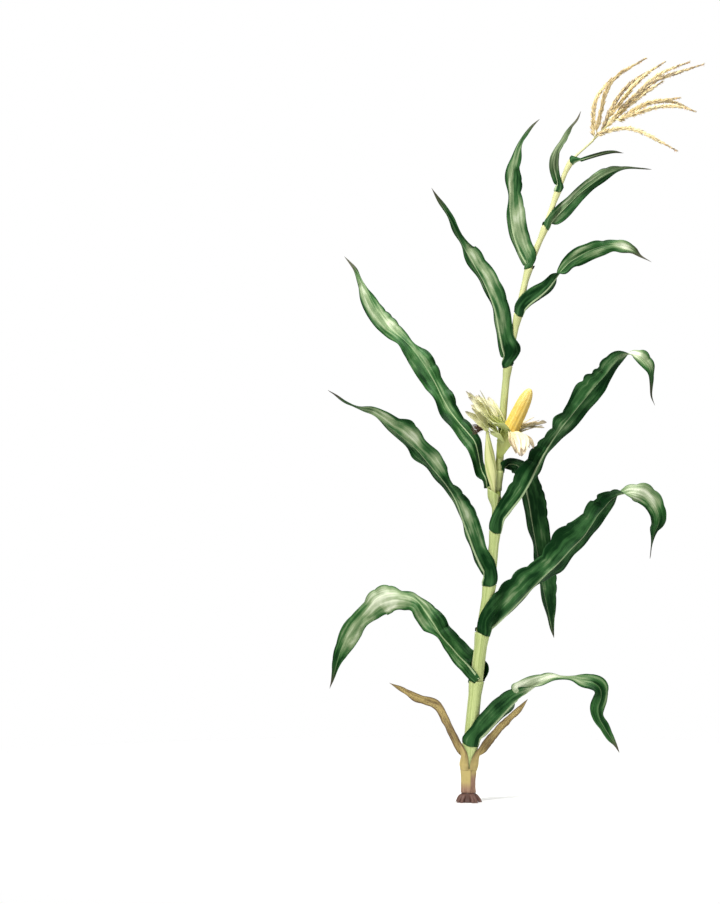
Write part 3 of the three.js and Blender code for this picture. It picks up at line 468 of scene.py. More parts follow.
# Meshes from lofted rings
class Pile:
    """Lofted forms gathered into one mesh, with its UV maps and its paint"""

    def __init__(self):
        self.points = []
        self.quads = []
        self.triangles = []
        self.leaf = []
        self.paint = []
        self.count = 0

    def loft(self, rings, finish=0, leaf=None, paint=None, strip=False, bands=1.0):
        """rings is rings by sides by 3. finish is one material number or one for each side. Quads close the
        ends of a strip, and fans those of any other form."""
        count, sides = rings.shape[:2]
        first = self.count
        last = (count - 1) * sides
        i, j = np.meshgrid(np.arange(count - 1), np.arange(sides), indexing="ij")
        a = i * sides + j
        b = i * sides + (j + 1) % sides
        quads = np.stack([a, b, b + sides, a + sides], -1).reshape(-1, 4)
        across = np.stack([j, j + 1, j + 1, j], -1).reshape(-1, 4) / sides
        along = np.stack([i, i, i + 1, i + 1], -1).reshape(-1, 4) / (count - 1)
        numbers = np.broadcast_to(finish, (count - 1, sides)).ravel()
        flat = rings.reshape(-1, 3)
        p = (flat - flat.mean(0))[quads]
        volume = np.einsum("ij,ij->", p[:, 0], np.cross(p[:, 1], p[:, 2]) + np.cross(p[:, 2], p[:, 3]))
        way = slice(None, None, -1 if volume < 0 else 1)
        self.quads.append((quads[:, way] + first, across[:, way], along[:, way], numbers, bands))
        points = flat
        shade = np.broadcast_to(finish, sides)[0]
        if strip:
            j = np.arange(sides // 2 - 1)
            ends = np.stack([j + 1, j, sides - 1 - j, sides - 2 - j], -1)
            ends = np.vstack([ends, (ends + last)[:, ::-1]])
            place = np.zeros(ends.shape)
            self.quads.append((ends[:, way] + first, place, place - 1, np.full(len(ends), shade), 0))
        else:
            j = np.arange(sides)
            after = (j + 1) % sides
            start = np.stack([after, j, np.full(sides, len(flat))], -1)
            end = np.stack([last + j, last + after, np.full(sides, len(flat) + 1)], -1)
            points = np.vstack([flat, rings[0].mean(0), rings[-1].mean(0)])
            self.triangles.append((np.vstack([start, end])[:, way] + first, shade))
        self.points.append(points)
        self.count += len(points)
        self.leaf.append(self.padded(leaf, len(points), 2))
        self.paint.append(self.padded(paint, len(points), 4))

    @staticmethod
    def padded(values, count, width):
        found = np.zeros((count, width))
        if values is not None:
            flat = values.reshape(-1, values.shape[-1])
            found[:len(flat), :flat.shape[1]] = flat
            found[len(flat):] = found[len(flat) - 1]
        return found

    def bake_map(self, corners):
        """One band of the map for each form, and one corner of it for every end"""
        tops = np.cumsum([0.0] + [part[4] for part in self.quads])
        scale = MAP_FILLED / max(tops[-1], 1e-9)
        bake = np.full((corners, 2), MAP_CORNER)
        start = 0
        for (quads, across, along, _, bands), low in zip(self.quads, tops):
            end = start + quads.size
            if bands:
                bake[start:end, 0] = along.ravel() * MAP_FILLED
                bake[start:end, 1] = (low + across.ravel() * bands * BAND_FILLED) * scale
            start = end
        return bake

    def build(self, name, materials, slot, replaced=(), baked=True):
        faces = [*self.quads, *self.triangles]
        loops = np.concatenate([part[0].ravel() for part in faces])
        numbers = [part[3] for part in self.quads]
        numbers += [np.full(len(part[0]), part[1]) for part in self.triangles]
        faces = [face for part in faces for face in part[0].tolist()]
        mesh = bpy.data.meshes.new(name)
        mesh.from_pydata((np.vstack(self.points) * MM).tolist(), [], faces)
        if baked:
            mesh.uv_layers.new(name="OFBake").data.foreach_set("uv", self.bake_map(len(loops)).ravel())
            mesh.uv_layers.new(name="Leaf").data.foreach_set("uv", np.vstack(self.leaf)[loops].ravel())
            layer = mesh.color_attributes.new(name="paint", type="FLOAT_COLOR", domain="POINT")
            layer.data.foreach_set("color", np.vstack(self.paint).ravel())
        mesh.polygons.foreach_set("material_index", np.concatenate(numbers).astype(int))
        mesh.polygons.foreach_set("use_smooth", np.ones(len(faces), dtype=bool))
        for material in materials:
            mesh.materials.append(material)
        mesh.update()
        piece = in_scene(name, mesh)
        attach(piece, "root")
        if replaced:
            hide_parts(*replaced)


def in_scene(name, data):
    made = bpy.data.objects.new(name, data)
    bpy.context.scene.collection.objects.link(made)
    return made


# Materials
def linear(code):
    """A colour from its six-digit code, as linear light"""
    parts = [int(code[k:k + 2], 16) / 255 for k in (0, 2, 4)]
    return [c / 12.92 if c <= 0.04045 else ((c + 0.055) / 1.055) ** 2.4 for c in parts] + [1]


class Shader:
    """A node material on the Principled shader"""

    def __init__(self, name, roughness, **sockets):
        self.material = bpy.data.materials.new(name)
        self.material.use_nodes = True
        self.tree = self.material.node_tree
        self.surface = self.tree.nodes["Principled BSDF"]
        self.surface.inputs["Roughness"].default_value = roughness
        for key, value in sockets.items():
            self.surface.inputs[key.replace("_", " ")].default_value = value

    def feed(self, socket, value):
        """Links a socket, or sets it to a value or a colour's code"""
        if isinstance(value, bpy.types.NodeSocket):
            self.tree.links.new(value, socket)
        else:
            socket.default_value = linear(value) if isinstance(value, str) else value

    def node(self, kind, inputs=(), **settings):
        made = self.tree.nodes.new("ShaderNode" + kind)
        for key, value in settings.items():
            setattr(made, key, value)
        for key, value in dict(inputs).items():
            self.feed(made.inputs[key], value)
        return made

    def math(self, operation, a, b=0.0):
        return self.node("Math", {0: a, 1: b}, operation=operation).outputs[0]

    def times(self, value, factor):
        return value if factor == 1 else self.math("MULTIPLY", value, factor)

    def painted(self, colour, *coats):
        """A colour under coats of others, each with its share, or with a value and the range it shows over"""
        for share, coat in coats:
            share = self.ranged(*share) if isinstance(share, tuple) else share
            colour = self.node("Mix", {0: share, 6: colour, 7: coat}, data_type="RGBA").outputs[2]
        return colour

    def ranged(self, value, low, high, to_low=0.0, to_high=1.0):
        limits = {"Value": value, "From Min": low, "From Max": high, "To Min": to_low, "To Max": to_high}
        return self.node("MapRange", limits).outputs[0]

    def noise(self, vector, scale, detail):
        settings = {"Vector": vector, "Scale": scale, "Detail": detail, "Roughness": 0.55}
        return self.node("TexNoise", settings).outputs["Fac"]

    def grain(self, scale):
        return self.noise(self.node("TexCoord").outputs["Object"], scale, 2.0)

    def finish(self, colour, height, distance, strength):
        bump = self.node("Bump", {"Height": height, "Distance": distance, "Strength": strength})
        self.feed(self.surface.inputs["Base Color"], colour)
        self.feed(self.surface.inputs["Normal"], bump.outputs[0])
        return self.material


class LeafShader(Shader):
    """It knows the place across, from -1 to 1, and the metres along, from the Leaf map, and the paint. Blue
    paint, times spread, sets the pieces' patterns apart."""

    def __init__(self, name, roughness, spread=0, **sockets):
        super().__init__(name, roughness, **sockets)
        leaf = self.node("UVMap", uv_map="Leaf").outputs[0]
        self.u, self.along = self.node("SeparateXYZ", {0: leaf}).outputs[:2]
        paint = self.node("VertexColor", layer_name="paint")
        self.red, self.green, self.blue = self.node("SeparateColor", {0: paint.outputs[0]}).outputs[:3]
        self.alpha = paint.outputs["Alpha"]
        self.apart = self.times(self.blue, spread) if spread else 0.0

    def streaks(self, across, along, scale, detail):
        place = {0: self.times(self.u, across), 1: self.times(self.along, along), 2: self.apart}
        return self.noise(self.node("CombineXYZ", place).outputs[0], scale, detail)

    def ribs(self, pitch):
        return self.math("SINE", self.times(self.u, pitch))


def blade_material(name, deep, middle, light, pale, rib, roughness):
    """A blade's skin: four greens from dark to pale by its lightness paint, which holds painted highlights
    and painted shade, streaked and veined along it, and a pale rib"""
    shader = LeafShader(name, roughness, 7.0, Specular_IOR_Level=0.08)
    fine = shader.streaks(30.0, 1, 3.0, 2.0)
    veins = shader.math("POWER", shader.ranged(shader.ribs(75.0), -1, 1), 3.0)
    lightness = shader.green
    for grain, *limits in (
        (shader.streaks(2.4, 3.0, 2.0, 2.0), 0.35, 0.65, -0.13, 0.16),
        (shader.streaks(1, 9.0, 1.4, 2.0), 0.35, 0.65, -0.13, 0.18),
        (fine, 0.4, 0.7, -0.03, 0.06),
    ):
        lightness = shader.math("ADD", lightness, shader.ranged(grain, *limits))
    lightness = shader.math("ADD", lightness, shader.times(veins, 0.04))
    # The painted shade shows as the deep green and the painted highlights as the pale one
    colour = shader.painted(
        deep, ((lightness, 0.0, 0.3), middle), ((lightness, 0.3, 0.62), light),
        ((lightness, 0.62, 1.0), pale), (shader.red, rib), (shader.alpha, "4b4136"))
    height = shader.math("ADD", shader.times(veins, 0.6), shader.times(fine, 0.8))
    return shader.finish(colour, height, 0.0005, 0.55)


def sheath_material(name, middle, edge, seam, high):
    shader = LeafShader(name, 0.46, 9.0)
    streaks = shader.streaks(9.0, 1, 2.4, 3.0)
    clouds = shader.streaks(1, 4.0, 2.0, 2.0)
    ribs = shader.ribs(130.0)
    colour = shader.painted(
        middle, ((streaks, 0.35, 0.7), edge), ((clouds, 0.4, 0.75, 0, 0.5), edge),
        ((ribs, 0.2, 1, 0, 0.25), edge), (shader.red, high), (shader.green, seam))
    return shader.finish(colour, shader.math("ADD", shader.ranged(ribs, -1, 1), streaks), 0.0004, 0.6)


def dry_material(name, ground, light, dark, high=None):
    """Dead leaf or sheath, streaked and blotched. high is the colour of a sheath's upper part"""
    shader = LeafShader(name, 0.82, 5.0, Specular_IOR_Level=0.3)
    streaks = shader.streaks(7.0, 1, 6.0, 4.0)
    blotches = shader.streaks(1, 10.0, 2.0, 3.0)
    coats = [((streaks, 0.35, 0.7), light), ((blotches, 0.5, 0.72, 0, 0.8), dark),
             (shader.red, high or light), (shader.green, dark)]
    if not high:
        edge = shader.math("ABSOLUTE", shader.u)
        coats += [((edge, 0.6, 0.95, 0, 0.85), dark), (shader.alpha, "b5a468")]
    return shader.finish(shader.painted(ground, *coats), streaks, 0.0012, 0.8)


def husk_material(name, tip, foot, vein, roughness=0.62, dried=None):
    shader = LeafShader(name, roughness, 5.0)
    veins = shader.streaks(14.0, 1, 5.0, 2.0)
    coats = [(shader.green, foot), ((veins, 0.5, 0.7, 0, 0.55), vein)]
    if dried:
        coats.append((shader.alpha, dried))
    return shader.finish(shader.painted(tip, *coats), veins, 0.0005, 0.4)


def cob_material():
    shader = LeafShader("cob_kernels", 0.34)
    # Red paint puts painted shade into the grooves between the kernels
    coats = (shader.blue, "e2cb78"), (shader.green, "d49a2c"), (shader.red, "b98428")
    return shader.finish(shader.painted("dcb748", *coats), shader.grain(900.0), 0.0002, 0.3)


def stalk_material():
    shader = LeafShader("stalk_skin", 0.5)
    streaks = shader.streaks(11.0, 1, 4.0, 4.0)
    foot = shader.painted("6b4038", ((streaks, 0.35, 0.68), "a07a64"))
    colour = shader.painted("b3c266", ((streaks, 0.35, 0.7), "94a550"), (shader.blue, "d4d29e"),
                            (shader.green, foot), (shader.red, "3a2320"))
    return shader.finish(colour, streaks, 0.0012, 0.7)


def plain_materials(name, roughness, *codes):
    """Plain colours, each with a fine grain that shows only in its relief"""
    shaders = [Shader(f"{name}_{k}" if len(codes) > 1 else name, roughness) for k in range(len(codes))]
    return [shader.finish(code, shader.grain(700.0), 0.0002, 0.4) for shader, code in zip(shaders, codes)]


# Blades
def leaf_angle(side, swing):
    return (swing if side == RIGHT else 180 - swing) * DEG


def rib_curve(spec, origin, start, angle, straight, zone):
    """A rib's directions and points as functions of the distance along it"""
    origin, start = np.asarray(origin, dtype=float), np.asarray(start, dtype=float)

    def direction(s):
        s = np.asarray(s, dtype=float)
        t = s / spec.length
        slope = turn_over(spec.rise, spec.fall, spec.bend_at, spec.bend_span, t)
        slope = turn_over(slope, spec.fall, TIP_AT, TIP_SPAN, t) * DEG
        flat = np.cos(slope)
        free = np.stack([math.cos(angle) * flat, math.sin(angle) * flat, np.sin(slope)], -1)
        return unit(mix(start, free, ramp(s, straight, zone)[..., None]))

    count = math.ceil(spec.length / RIB_STEP)
    steps = direction((np.arange(count) + 0.5) * RIB_STEP) * RIB_STEP
    points = np.vstack([origin, origin + np.cumsum(steps, 0)])
    places = np.arange(count + 1) * RIB_STEP

    def point_at(s):
        s = np.asarray(s, dtype=float)
        found = np.stack([np.interp(s, places, points[:, k]) for k in range(3)], -1)
        return found + np.minimum(s, 0)[..., None] * start

    return SimpleNamespace(direction=direction, point_at=point_at)


def arc_foot(found, centre, angle, round_, half_wrap):
    """Where a blade starts: an arc of a circle round the limb that carries it"""
    out = outward(found, angle)
    return SimpleNamespace(origin=centre + found.tangent * GAP + out * round_, axis=found.tangent,
                           side=np.cross(found.tangent, out), round=round_, half=round_ * half_wrap)


def collar_foot(node, angle, half_wrap, bulge=0.0):
    found = one_of(stalk_at(node), 0)
    clear = sheath_outer(found.radius) + GAP + COLLAR_EASE
    round_ = clear * facet_scale(half_wrap, COLLAR_SEGMENTS) + bulge / 2
    centre = found.point + outward(found, LOWER_EAR_SIDE) * bulge / 2
    return arc_foot(found, centre, angle, round_, half_wrap)


def pointed(t):
    return np.where(t < 0.5, 1, np.cos(np.clip(t - 0.5, 0, 0.5) * math.pi) ** POINT_POWER)


def swept_section(spec, foot, s, u, looks):
    """A husk's upper face, its normals and half widths. Slope, roll and wrap change along its rib."""
    rib = rib_curve(spec, foot.origin, foot.axis, spec.angle, HUSK_STRAIGHT, HUSK_ZONE)
    s, t = s[:, None], s[:, None] / spec.length
    tangent = rib.direction(s[:, 0])
    free_side = np.array([-math.sin(spec.angle), math.cos(spec.angle), 0])
    side = square_to(mix(foot.side, free_side, ramp(s, COLLAR_STRAIGHT, COLLAR_ZONE)), tangent)
    face = np.cross(tangent, side)
    slope = spec.rise * DEG
    free = (math.cos(spec.angle) * math.cos(slope), 0, math.sin(slope))
    folded = FOLDED_BY / max(LEAST_PARTING, np.linalg.norm(np.cross(foot.axis, free)))
    trough = ramp(t, TROUGH_FROM, TROUGH_SPAN)
    started = smooth((s - ROLL_FROM * folded) / (ROLL_SPAN * folded + ROLL_SPAN_SHARE * spec.length))
    turned = turn_over(mix(FOOT_ROLL, 1, trough) * spec.roll, spec.roll, HUSK_TURN_AT, HUSK_TURN_SPAN, t)
    roll = spec.side * DEG * started * turned
    across = (side * np.cos(roll) + face * np.sin(roll))[:, None, :]
    up = (face * np.cos(roll) - side * np.sin(roll))[:, None, :]
    body = mix(foot.half, spec.half, smooth(s / (WIDTH_SPAN + WIDTH_SPAN_SHARE * spec.length))) * pointed(t)
    wrap = mix(foot.half / foot.round, HUSK_HALF_WRAP, np.clip(s / folded, 0, 1))
    wrap = mix(wrap, HUSK_TROUGH, trough)
    lean = -spec.side * FRONT_WIDER * smooth(s / folded) * (1 - ramp(t, TROUGH_FROM, WIDER_SPAN))
    edge = mix(looks.left_edge(s), looks.right_edge(s), smooth(u * 4 + 0.5))
    half = np.maximum(body * (1 + looks.ragged * ramp(s, 30, 90) * edge), 0.5)
    wider = np.sign(u) * lean
    bend = u * wrap * np.minimum(1, 1 + wider)
    radius = (half * np.maximum(1, 1 + wider) / wrap)[..., None]
    sine, cosine = np.sin(bend)[..., None], np.cos(bend)[..., None]
    centre = rib.point_at(s[:, 0])[:, None, :]
    return centre + across * radius * sine + up * radius * (1 - cosine), up * cosine - across * sine, half


def as_seen(flat, depth):
    """Points at a depth that the camera sees where it would see flat ones in the plane y = 0"""
    spot = np.array(CAMERA_SPOT)
    grown = 1 - depth / spot[1]
    x = spot[0] + (flat[..., 0] - spot[0]) * grown
    z = spot[2] + (flat[..., 1] - spot[2]) * grown
    return np.stack([x, depth, z], -1)


def beside_stalk(points, free, u, side, spare):
    """Keeps a blade out of the stalk and its sheaths: one wing in front of it, the other behind, and what
    lies between them, at u = 0, on the blade's own side. It keeps further off where it is free."""
    line = stalk_at(np.linspace(0, FORK, 600))
    z = points[..., 2]
    x, y = (np.interp(z, line.point[:, 2], line.point[:, k]) for k in (0, 1))
    clear = np.interp(z, line.point[:, 2], sheath_outer(line.radius)) + STALK_CLEARANCE + spare
    turn = 90 * DEG * smooth(np.abs(u) / WING_TURN)
    way_x = side * np.cos(turn)
    way_y = np.sign(u) * side * np.sin(turn)
    dx, dy = points[..., 0] - x, points[..., 1] - y
    out = dx * way_x + dy * way_y
    off = np.abs(dx * way_y - dy * way_x)
    reach = clear * (1 + 0.5 * free)
    least = clear * (1 + 0.1 * free) * np.sqrt(np.maximum(0, 1 - (off / reach) ** 2))
    least = least - 2 * np.maximum(0, off - reach)
    more = np.maximum(0, least - out)
    return np.stack([points[..., 0] + more * way_x, points[..., 1] + more * way_y, z], -1)


def traced_curve(spec, foot, trace):
    """The rib through a traced leaf's points, its margins' reach, and the distance along it"""
    flat = spline(np.array(trace, dtype=float).reshape(-1, 4), np.linspace(0, 1, 900))
    depth = 0 * flat[:, 0] + foot.origin[1]
    for _ in range(4):
        x = as_seen(flat, depth)[:, 0]
        depth = foot.origin[1] + (x - foot.origin[0]) * math.tan(spec.angle)
    steps = np.linalg.norm(np.diff(as_seen(flat, depth), axis=0), axis=1)
    return flat, depth, np.concatenate([[0], np.cumsum(steps)])


def traced_section(spec, foot, curve, s, u, looks):
    """Upper faces between a rib and two margins that are seen where the trace has them. What a margin lacks
    of the leaf's own half width it goes forwards or back."""
    flat, depth, along = curve
    slopes = np.gradient(flat[:, :2], along, axis=0)
    found = [np.interp(s, along, values) for values in (*flat.T, depth)]
    ahead = unit(np.stack([np.interp(s, along, slopes[:, k]) for k in (0, 1)], -1))
    outer = spec.side * np.stack([-ahead[:, 1], ahead[:, 0]], -1)
    rib_flat, rib_depth = np.stack(found[:2], -1), found[4]
    taper = pointed(s / along[-1])
    whole = spec.half * taper * smooth(s / 60 + 0.35)
    lobed = looks.lobed * ramp(s, 80, 80) * taper
    rib = as_seen(rib_flat, rib_depth)[:, None, :]
    wings = []
    for reach, edge, forwards in ((found[2], looks.left_edge, -spec.side),
                                  (found[3], looks.right_edge, spec.side)):
        reach = reach + lobed * edge(s) * smooth(reach / 20)
        lack = np.sqrt(np.maximum(0, whole ** 2 - reach ** 2)) * forwards * smooth((s + 20) / 120)
        wings.append(as_seen(rib_flat + outer * reach[:, None], rib_depth + lack)[:, None, :] - rib)
    s, u = s[:, None, None], u[None, :, None]
    wing = np.where(u < 0, *wings)
    upper = rib + wing * np.abs(u)
    turn = u * np.where(u * spec.side < 0, spec.front_wrap, 1) * foot.half / foot.round
    face = np.cross(foot.axis, foot.side)
    corner = spec.corner * smooth(np.abs(u) * 1.8 - 0.8) * (1 - smooth(s / 40))
    bulk = spec.bulk * smooth((s + FOOT_LAP) / 22) * (1 - ramp(s, 20, 40))
    around = (foot.round + FOOT_SPARE + bulk) * (foot.side * np.sin(turn) - face * np.cos(turn))
    collar = foot.origin + foot.round * face + foot.axis * (s + corner) + around
    upper = mix(collar, upper, smooth((s - 1) / (spec.leaving * foot.round)))
    along_way = np.gradient(upper, s[:, 0, 0], axis=0)
    across_way = np.gradient(upper, u[0, :, 0], axis=1)
    normal = unit(np.cross(along_way, across_way) + 1e-9)
    size = np.linalg.norm(wing, axis=2)
    crown = WING_CROWN * size * np.sin(math.pi * np.abs(u[..., 0])) * smooth((s[..., 0] - 20) / 60)
    return upper + normal * crown[..., None], normal, np.maximum(size, 0.5)


def dressed_rings(section, length, s, u, looks):
    """Closed rings of a blade: its upper face from margin to margin and its lower face back, with ruffled
    margins, a wavy skin, a channelled rib and a keel. looks holds their sizes and the seeded waves."""
    upper, normal, half = section
    s, u = s[:, None], u[None, :]
    t = s / length
    edge = np.abs(u)
    distance = half * edge
    started = ramp(s, RUFFLE_FROM, RUFFLE_SPAN) * np.minimum(1, half / RUFFLE_FULL_HALF)
    coarse = edge ** 2 * np.sin(s / RUFFLE_PITCH + np.where(u > 0, 0, RUFFLE_SHIFT))
    fine = edge ** 2.4 * mix(looks.left_wave(s), looks.right_wave(s), smooth(u * 4 + 0.5))
    relief = looks.relief(half * u, s + 0 * u) * looks.relief_height
    swell = relief * np.minimum(1, half / 30) * (1 - np.exp(-(distance / 6) ** 2))
    wave = (looks.coarse * coarse + looks.ruffle * fine) * started
    wave = wave + swell * ramp(s, 20, 60) * (1 - ramp(t, 0.9, 0.1))
    rib_width = looks.rib_width * mix(1.0, 0.3, smooth(t * 1.1)) * np.minimum(1, half / 8)
    rib_shape = np.exp(-(distance / rib_width) ** 2)
    taper = mix(1.0, 0.12, smooth(t * 1.15)) * smooth(s / 30 + 0.2)
    wave = wave - rib_shape * looks.channel * taper
    lamina = np.minimum(mix(looks.lamina, looks.lamina * 0.55, edge ** 3), half * 0.4)
    upper = upper + normal * wave[..., None]
    lower = upper - normal * (lamina + looks.keel * taper * rib_shape)[..., None]
    rib_paint = mix(looks.rib_paint, 0.4 * looks.rib_paint, smooth(t * 1.2))
    rib_paint = ramp(rib_shape, 0.25, 0.5) * rib_paint
    browning = (t - looks.tip_from + 0.05 * edge * looks.right_wave(s)) / (1 - looks.tip_from)
    tip = np.maximum(looks.dried * ramp(s, 15, 60), looks.browned * smooth(browning))
    tip = tip + looks.ochre * (1 - ramp(s, 5, 55))
    # Green paint comes from looks.pale; on the green blades it holds painted highlights and painted shade
    paint = stacked(rib_paint, np.clip(looks.pale(t, u), 0, 1), looks.tone + 0 * t, tip)
    rings = np.concatenate([upper, lower[:, ::-1]], 1)
    return rings, there_and_back(stacked(u, s * MM)), there_and_back(paint)


def blade_looks(rng, **changes):
    """Every value is drawn, also where a blade has its own, so the order of the draws stays the same"""
    values = dict(
        left_edge=lobes(rng, 80, 140), right_edge=lobes(rng, 80, 140),
        left_wave=wander(rng, 90, 180), right_wave=wander(rng, 90, 180),
        relief=crumple(rng, 70, 190), relief_height=2.6, rib_width=4.2, channel=0.9, lamina=0.9,
        tone=rng.uniform(), browned=0.0, coarse=5, rib_paint=1.0, tip_from=0.9, dried=0.0, ochre=0.0,
    )
    values.update(changes)
    return SimpleNamespace(**values)


def add_blade(pile, spec, foot, looks, trace=None, step=BLADE_STEP, count=BLADE_POINTS):
    """A blade by its trace, or a husk swept along its rib. Its points lie closer together near the rib."""
    even = np.linspace(-1, 1, count)
    u = np.sign(even) * np.abs(even) ** 1.35
    curve = traced_curve(spec, foot, trace) if trace else None
    length = curve[2][-1] if trace else spec.length
    s = np.linspace(-FOOT_LAP if trace else -3.0, length, max(8, round(length / step)))
    if trace:
        section = traced_section(spec, foot, curve, s, u, looks)
    else:
        section = swept_section(spec, foot, s, u, looks)
    rings, place, paint = dressed_rings(section, length, s, u, looks)
    if trace:
        both = np.concatenate([u, u[::-1]]) - spec.parting
        spare = 0.8 * (np.arange(2 * count) >= count)
        free = smooth(s / (1.2 * spec.leaving * foot.round))[:, None]
        rings = beside_stalk(rings, free, both, spec.side, spare)
    pile.loft(rings, np.where(np.arange(2 * count) < count - 1, 0, 1), place, paint, strip=True)


# Sheaths
def sheath_inner_at(place, half_wrap, distance):
    radius = stalk_at(place.ravel()).radius.reshape(place.shape)
    flared = (sheath_outer(radius) + GAP) * facet_scale(half_wrap, SHEATH_SEGMENTS)
    share = np.clip((FLARE_START - distance) / (FLARE_START - FLARE_END), 0, 1)
    return mix(sheath_inner(radius, half_wrap), flared, share)


def add_sheath(pile, node, middle, foot, tone, bulge=0.0, seat=0.0, drop=0.0, crinkle=None):
    """A sheath as one skin round the stalk, its right margin lapped over its left one, or half of the dry
    one. It bulges towards the lower ear, and its rim drops away from the seat of the blade."""
    whole = node > 1
    half_wrap = SHEATH_HALF_WRAP if whole else DRY_HALF_WRAP
    laps = not whole and middle > 1
    length = internode_length(node)
    share = np.linspace(-1, 1, SHEATH_COUNT)
    reach = math.pi + SHEATH_OVERLAP if whole else half_wrap + (DRY_LAP if laps else 0.04)
    angle = middle + reach * share
    tops = node - drop * (1 - np.cos(angle - seat)) / 2 / length
    rows = max(10, round((node - foot) * length / SHEATH_STEP))
    place = mix(foot, tops, np.linspace(0, 1, rows)[:, None])
    distance = (node - place) * length
    along = (place - foot) * length
    found = vars(stalk_at(place.ravel()))
    centre, across, away = (found[key].reshape(*place.shape, 3) for key in ("point", "across", "away"))
    out = across * np.cos(angle)[:, None] + away * np.sin(angle)[:, None]
    inner = sheath_inner_at(place, half_wrap, distance)
    rim = collar_foot(node, middle, half_wrap).round
    inner = mix(inner, np.maximum(inner, rim - 0.2), smooth(1 - distance / 12))
    bulging = smooth((BULGE_START - distance) / (BULGE_START - BULGE_END)) * bulge
    inner = inner + bulging * np.maximum(0, np.cos(angle - LOWER_EAR_SIDE)) ** 2
    lap = SHEATH_SKIN * SHEATH_LAP * (share + 1) / 2 if whole else DRY_LAP_HEIGHT * laps
    radius = inner + lap + 0.22 * np.cos(14 * angle) * smooth(distance / 30)
    if crinkle is not None:
        radius = radius + crinkle(share * 30 + 0 * along, along) * 0.5
    skin = SHEATH_SKIN * (1 - 0.5 * np.abs(share) ** 8)
    outside = centre + out * (radius + skin)[..., None]
    rings = np.concatenate([centre + out * radius[..., None], outside[:, ::-1]], 1)
    seam = smooth((np.abs(share) - 0.93) / 0.07) * 0.8
    if whole:
        high = 0.75 * ramp(node, 6, 8)
    else:
        high = smooth((place * length - (38 if laps else 72)) / 34)
    place_map = stacked(share * reach / math.pi, along * MM)
    paint = stacked(high, seam + 0 * place, tone)
    pile.loft(rings, 0, there_and_back(place_map), there_and_back(paint), strip=True)


# Round limbs
def add_tube(pile, points, radii, sides, finish=0):
    """A round limb through points, with a radius at each, kept from twisting along its way"""
    tangents = unit(np.gradient(points, axis=0))
    side = np.array([1.0, 0, 0]) if abs(tangents[0, 2]) > 0.9 else np.array([0, 0, 1.0])
    rings = []
    for point, tangent, radius in zip(points, tangents, radii):
        side = square_to(side, tangent)
        rings.append(point + circle(side, np.cross(tangent, side), turns(sides)) * radius)
    pile.loft(np.stack(rings), finish)


# Colours
# The blades' fourth greens, d2d8be and d4dac2, colour their painted highlights
leaf_skins = [blade_material("leaf_upper", "052c0a", "2f5a2b", "7f926a", "d2d8be", "b3c796", 0.46),
              blade_material("leaf_under", "052c0c", "315b2f", "84966f", "d4dac2", "b8ca9c", 0.52)]
sheath_skin = sheath_material("sheath_skin", "c3cd8c", "93a45c", "d9deb0", "d9d49a")
dry_sheath_skin = dry_material("dry_sheath_skin", "7d5a4a", "ae9077", "553229", "b5a468")
dry_skin = dry_material("dry_leaf_skin", "9a8450", "c8b474", "4f3829")
stalk_skin = stalk_material()
husk_skins = {
    RIGHT: [husk_material("husk_inner", "f0e2c2", "d9d79a", "cfb98c", dried="9a8880"),
            husk_material("husk_outer", "ebdcb8", "d6cc98", "cdb08c", dried="9a8880")],
    LEFT: [husk_material("green_husk_inner", "e8e4bc", "cbd488", "c6c692", dried="a09088"),
           husk_material("green_husk_outer", "e2e2b4", "bfca7c", "bcc08c", dried="a09088")],
}
cup_skin = husk_material("cup_skin", "d3d88c", "b3c262", "b9b06c")
ear_husk = husk_material("ear_husk", "dcdc9c", "a9b866", "94a558", 0.5)
cob_skin = cob_material()
silk_skins = plain_materials("silk", 0.6, "2e1c14", "472c1e", "6b4a30")
spikelet_skins = plain_materials("spikelet", 0.7, "e2d2a4", "d8c592", "c2ae80", "9c8c70")
anther_skins = plain_materials("anther", 0.6, "cf8a3c", "dcae5c")
rachis_skins = plain_materials("rachis", 0.6, "b3ad72")


def build_stalk():
    pile = Pile()
    place = np.unique(np.concatenate([
        np.linspace(0, 1, 40), np.linspace(1, FORK, 420), np.arange(1, FORK + 1),
    ]))
    found = stalk_at(place)
    height = found.point[:, 2:3]
    angles = np.broadcast_to(turns(STALK_SIDES), (len(place), STALK_SIDES))
    lengths = np.array([internode_length(int(max(1, round(p)))) for p in place])
    gap = np.abs(place - np.round(place)) * lengths
    swell = 0.3 * np.exp(-(gap / 6) ** 2)
    fluting = 0.35 * np.cos(9 * angles) * np.clip(height / 40, 0, 1)
    knobs = np.exp(-height / 40) * (0.8 * np.cos(9 * angles + 1) + 0.5 * np.cos(17 * angles))
    rings = around_limb(found, angles, (found.radius + swell)[:, None] - 0.35 + fluting + knobs)
    rings[0, :, 2] = 0
    dark = smooth(1.2 - height / 60) * 0.75
    brown = smooth(1.6 - height / 120)
    high = ramp(height, 1750, 300)
    leaf_map = stacked(np.abs(np.linspace(-1, 1, STALK_SIDES)), height * MM)
    pile.loft(rings, 0, leaf_map, stacked(dark + 0 * angles, brown, high), bands=6.0)
    for index, start in enumerate(turns(PROP_ROOT_COUNT)):
        add_prop_root(pile, index, start + 0.25 * math.sin(3 * index))
    pile.build("stalk_skin", [stalk_skin], "stalk", ["stalk"])


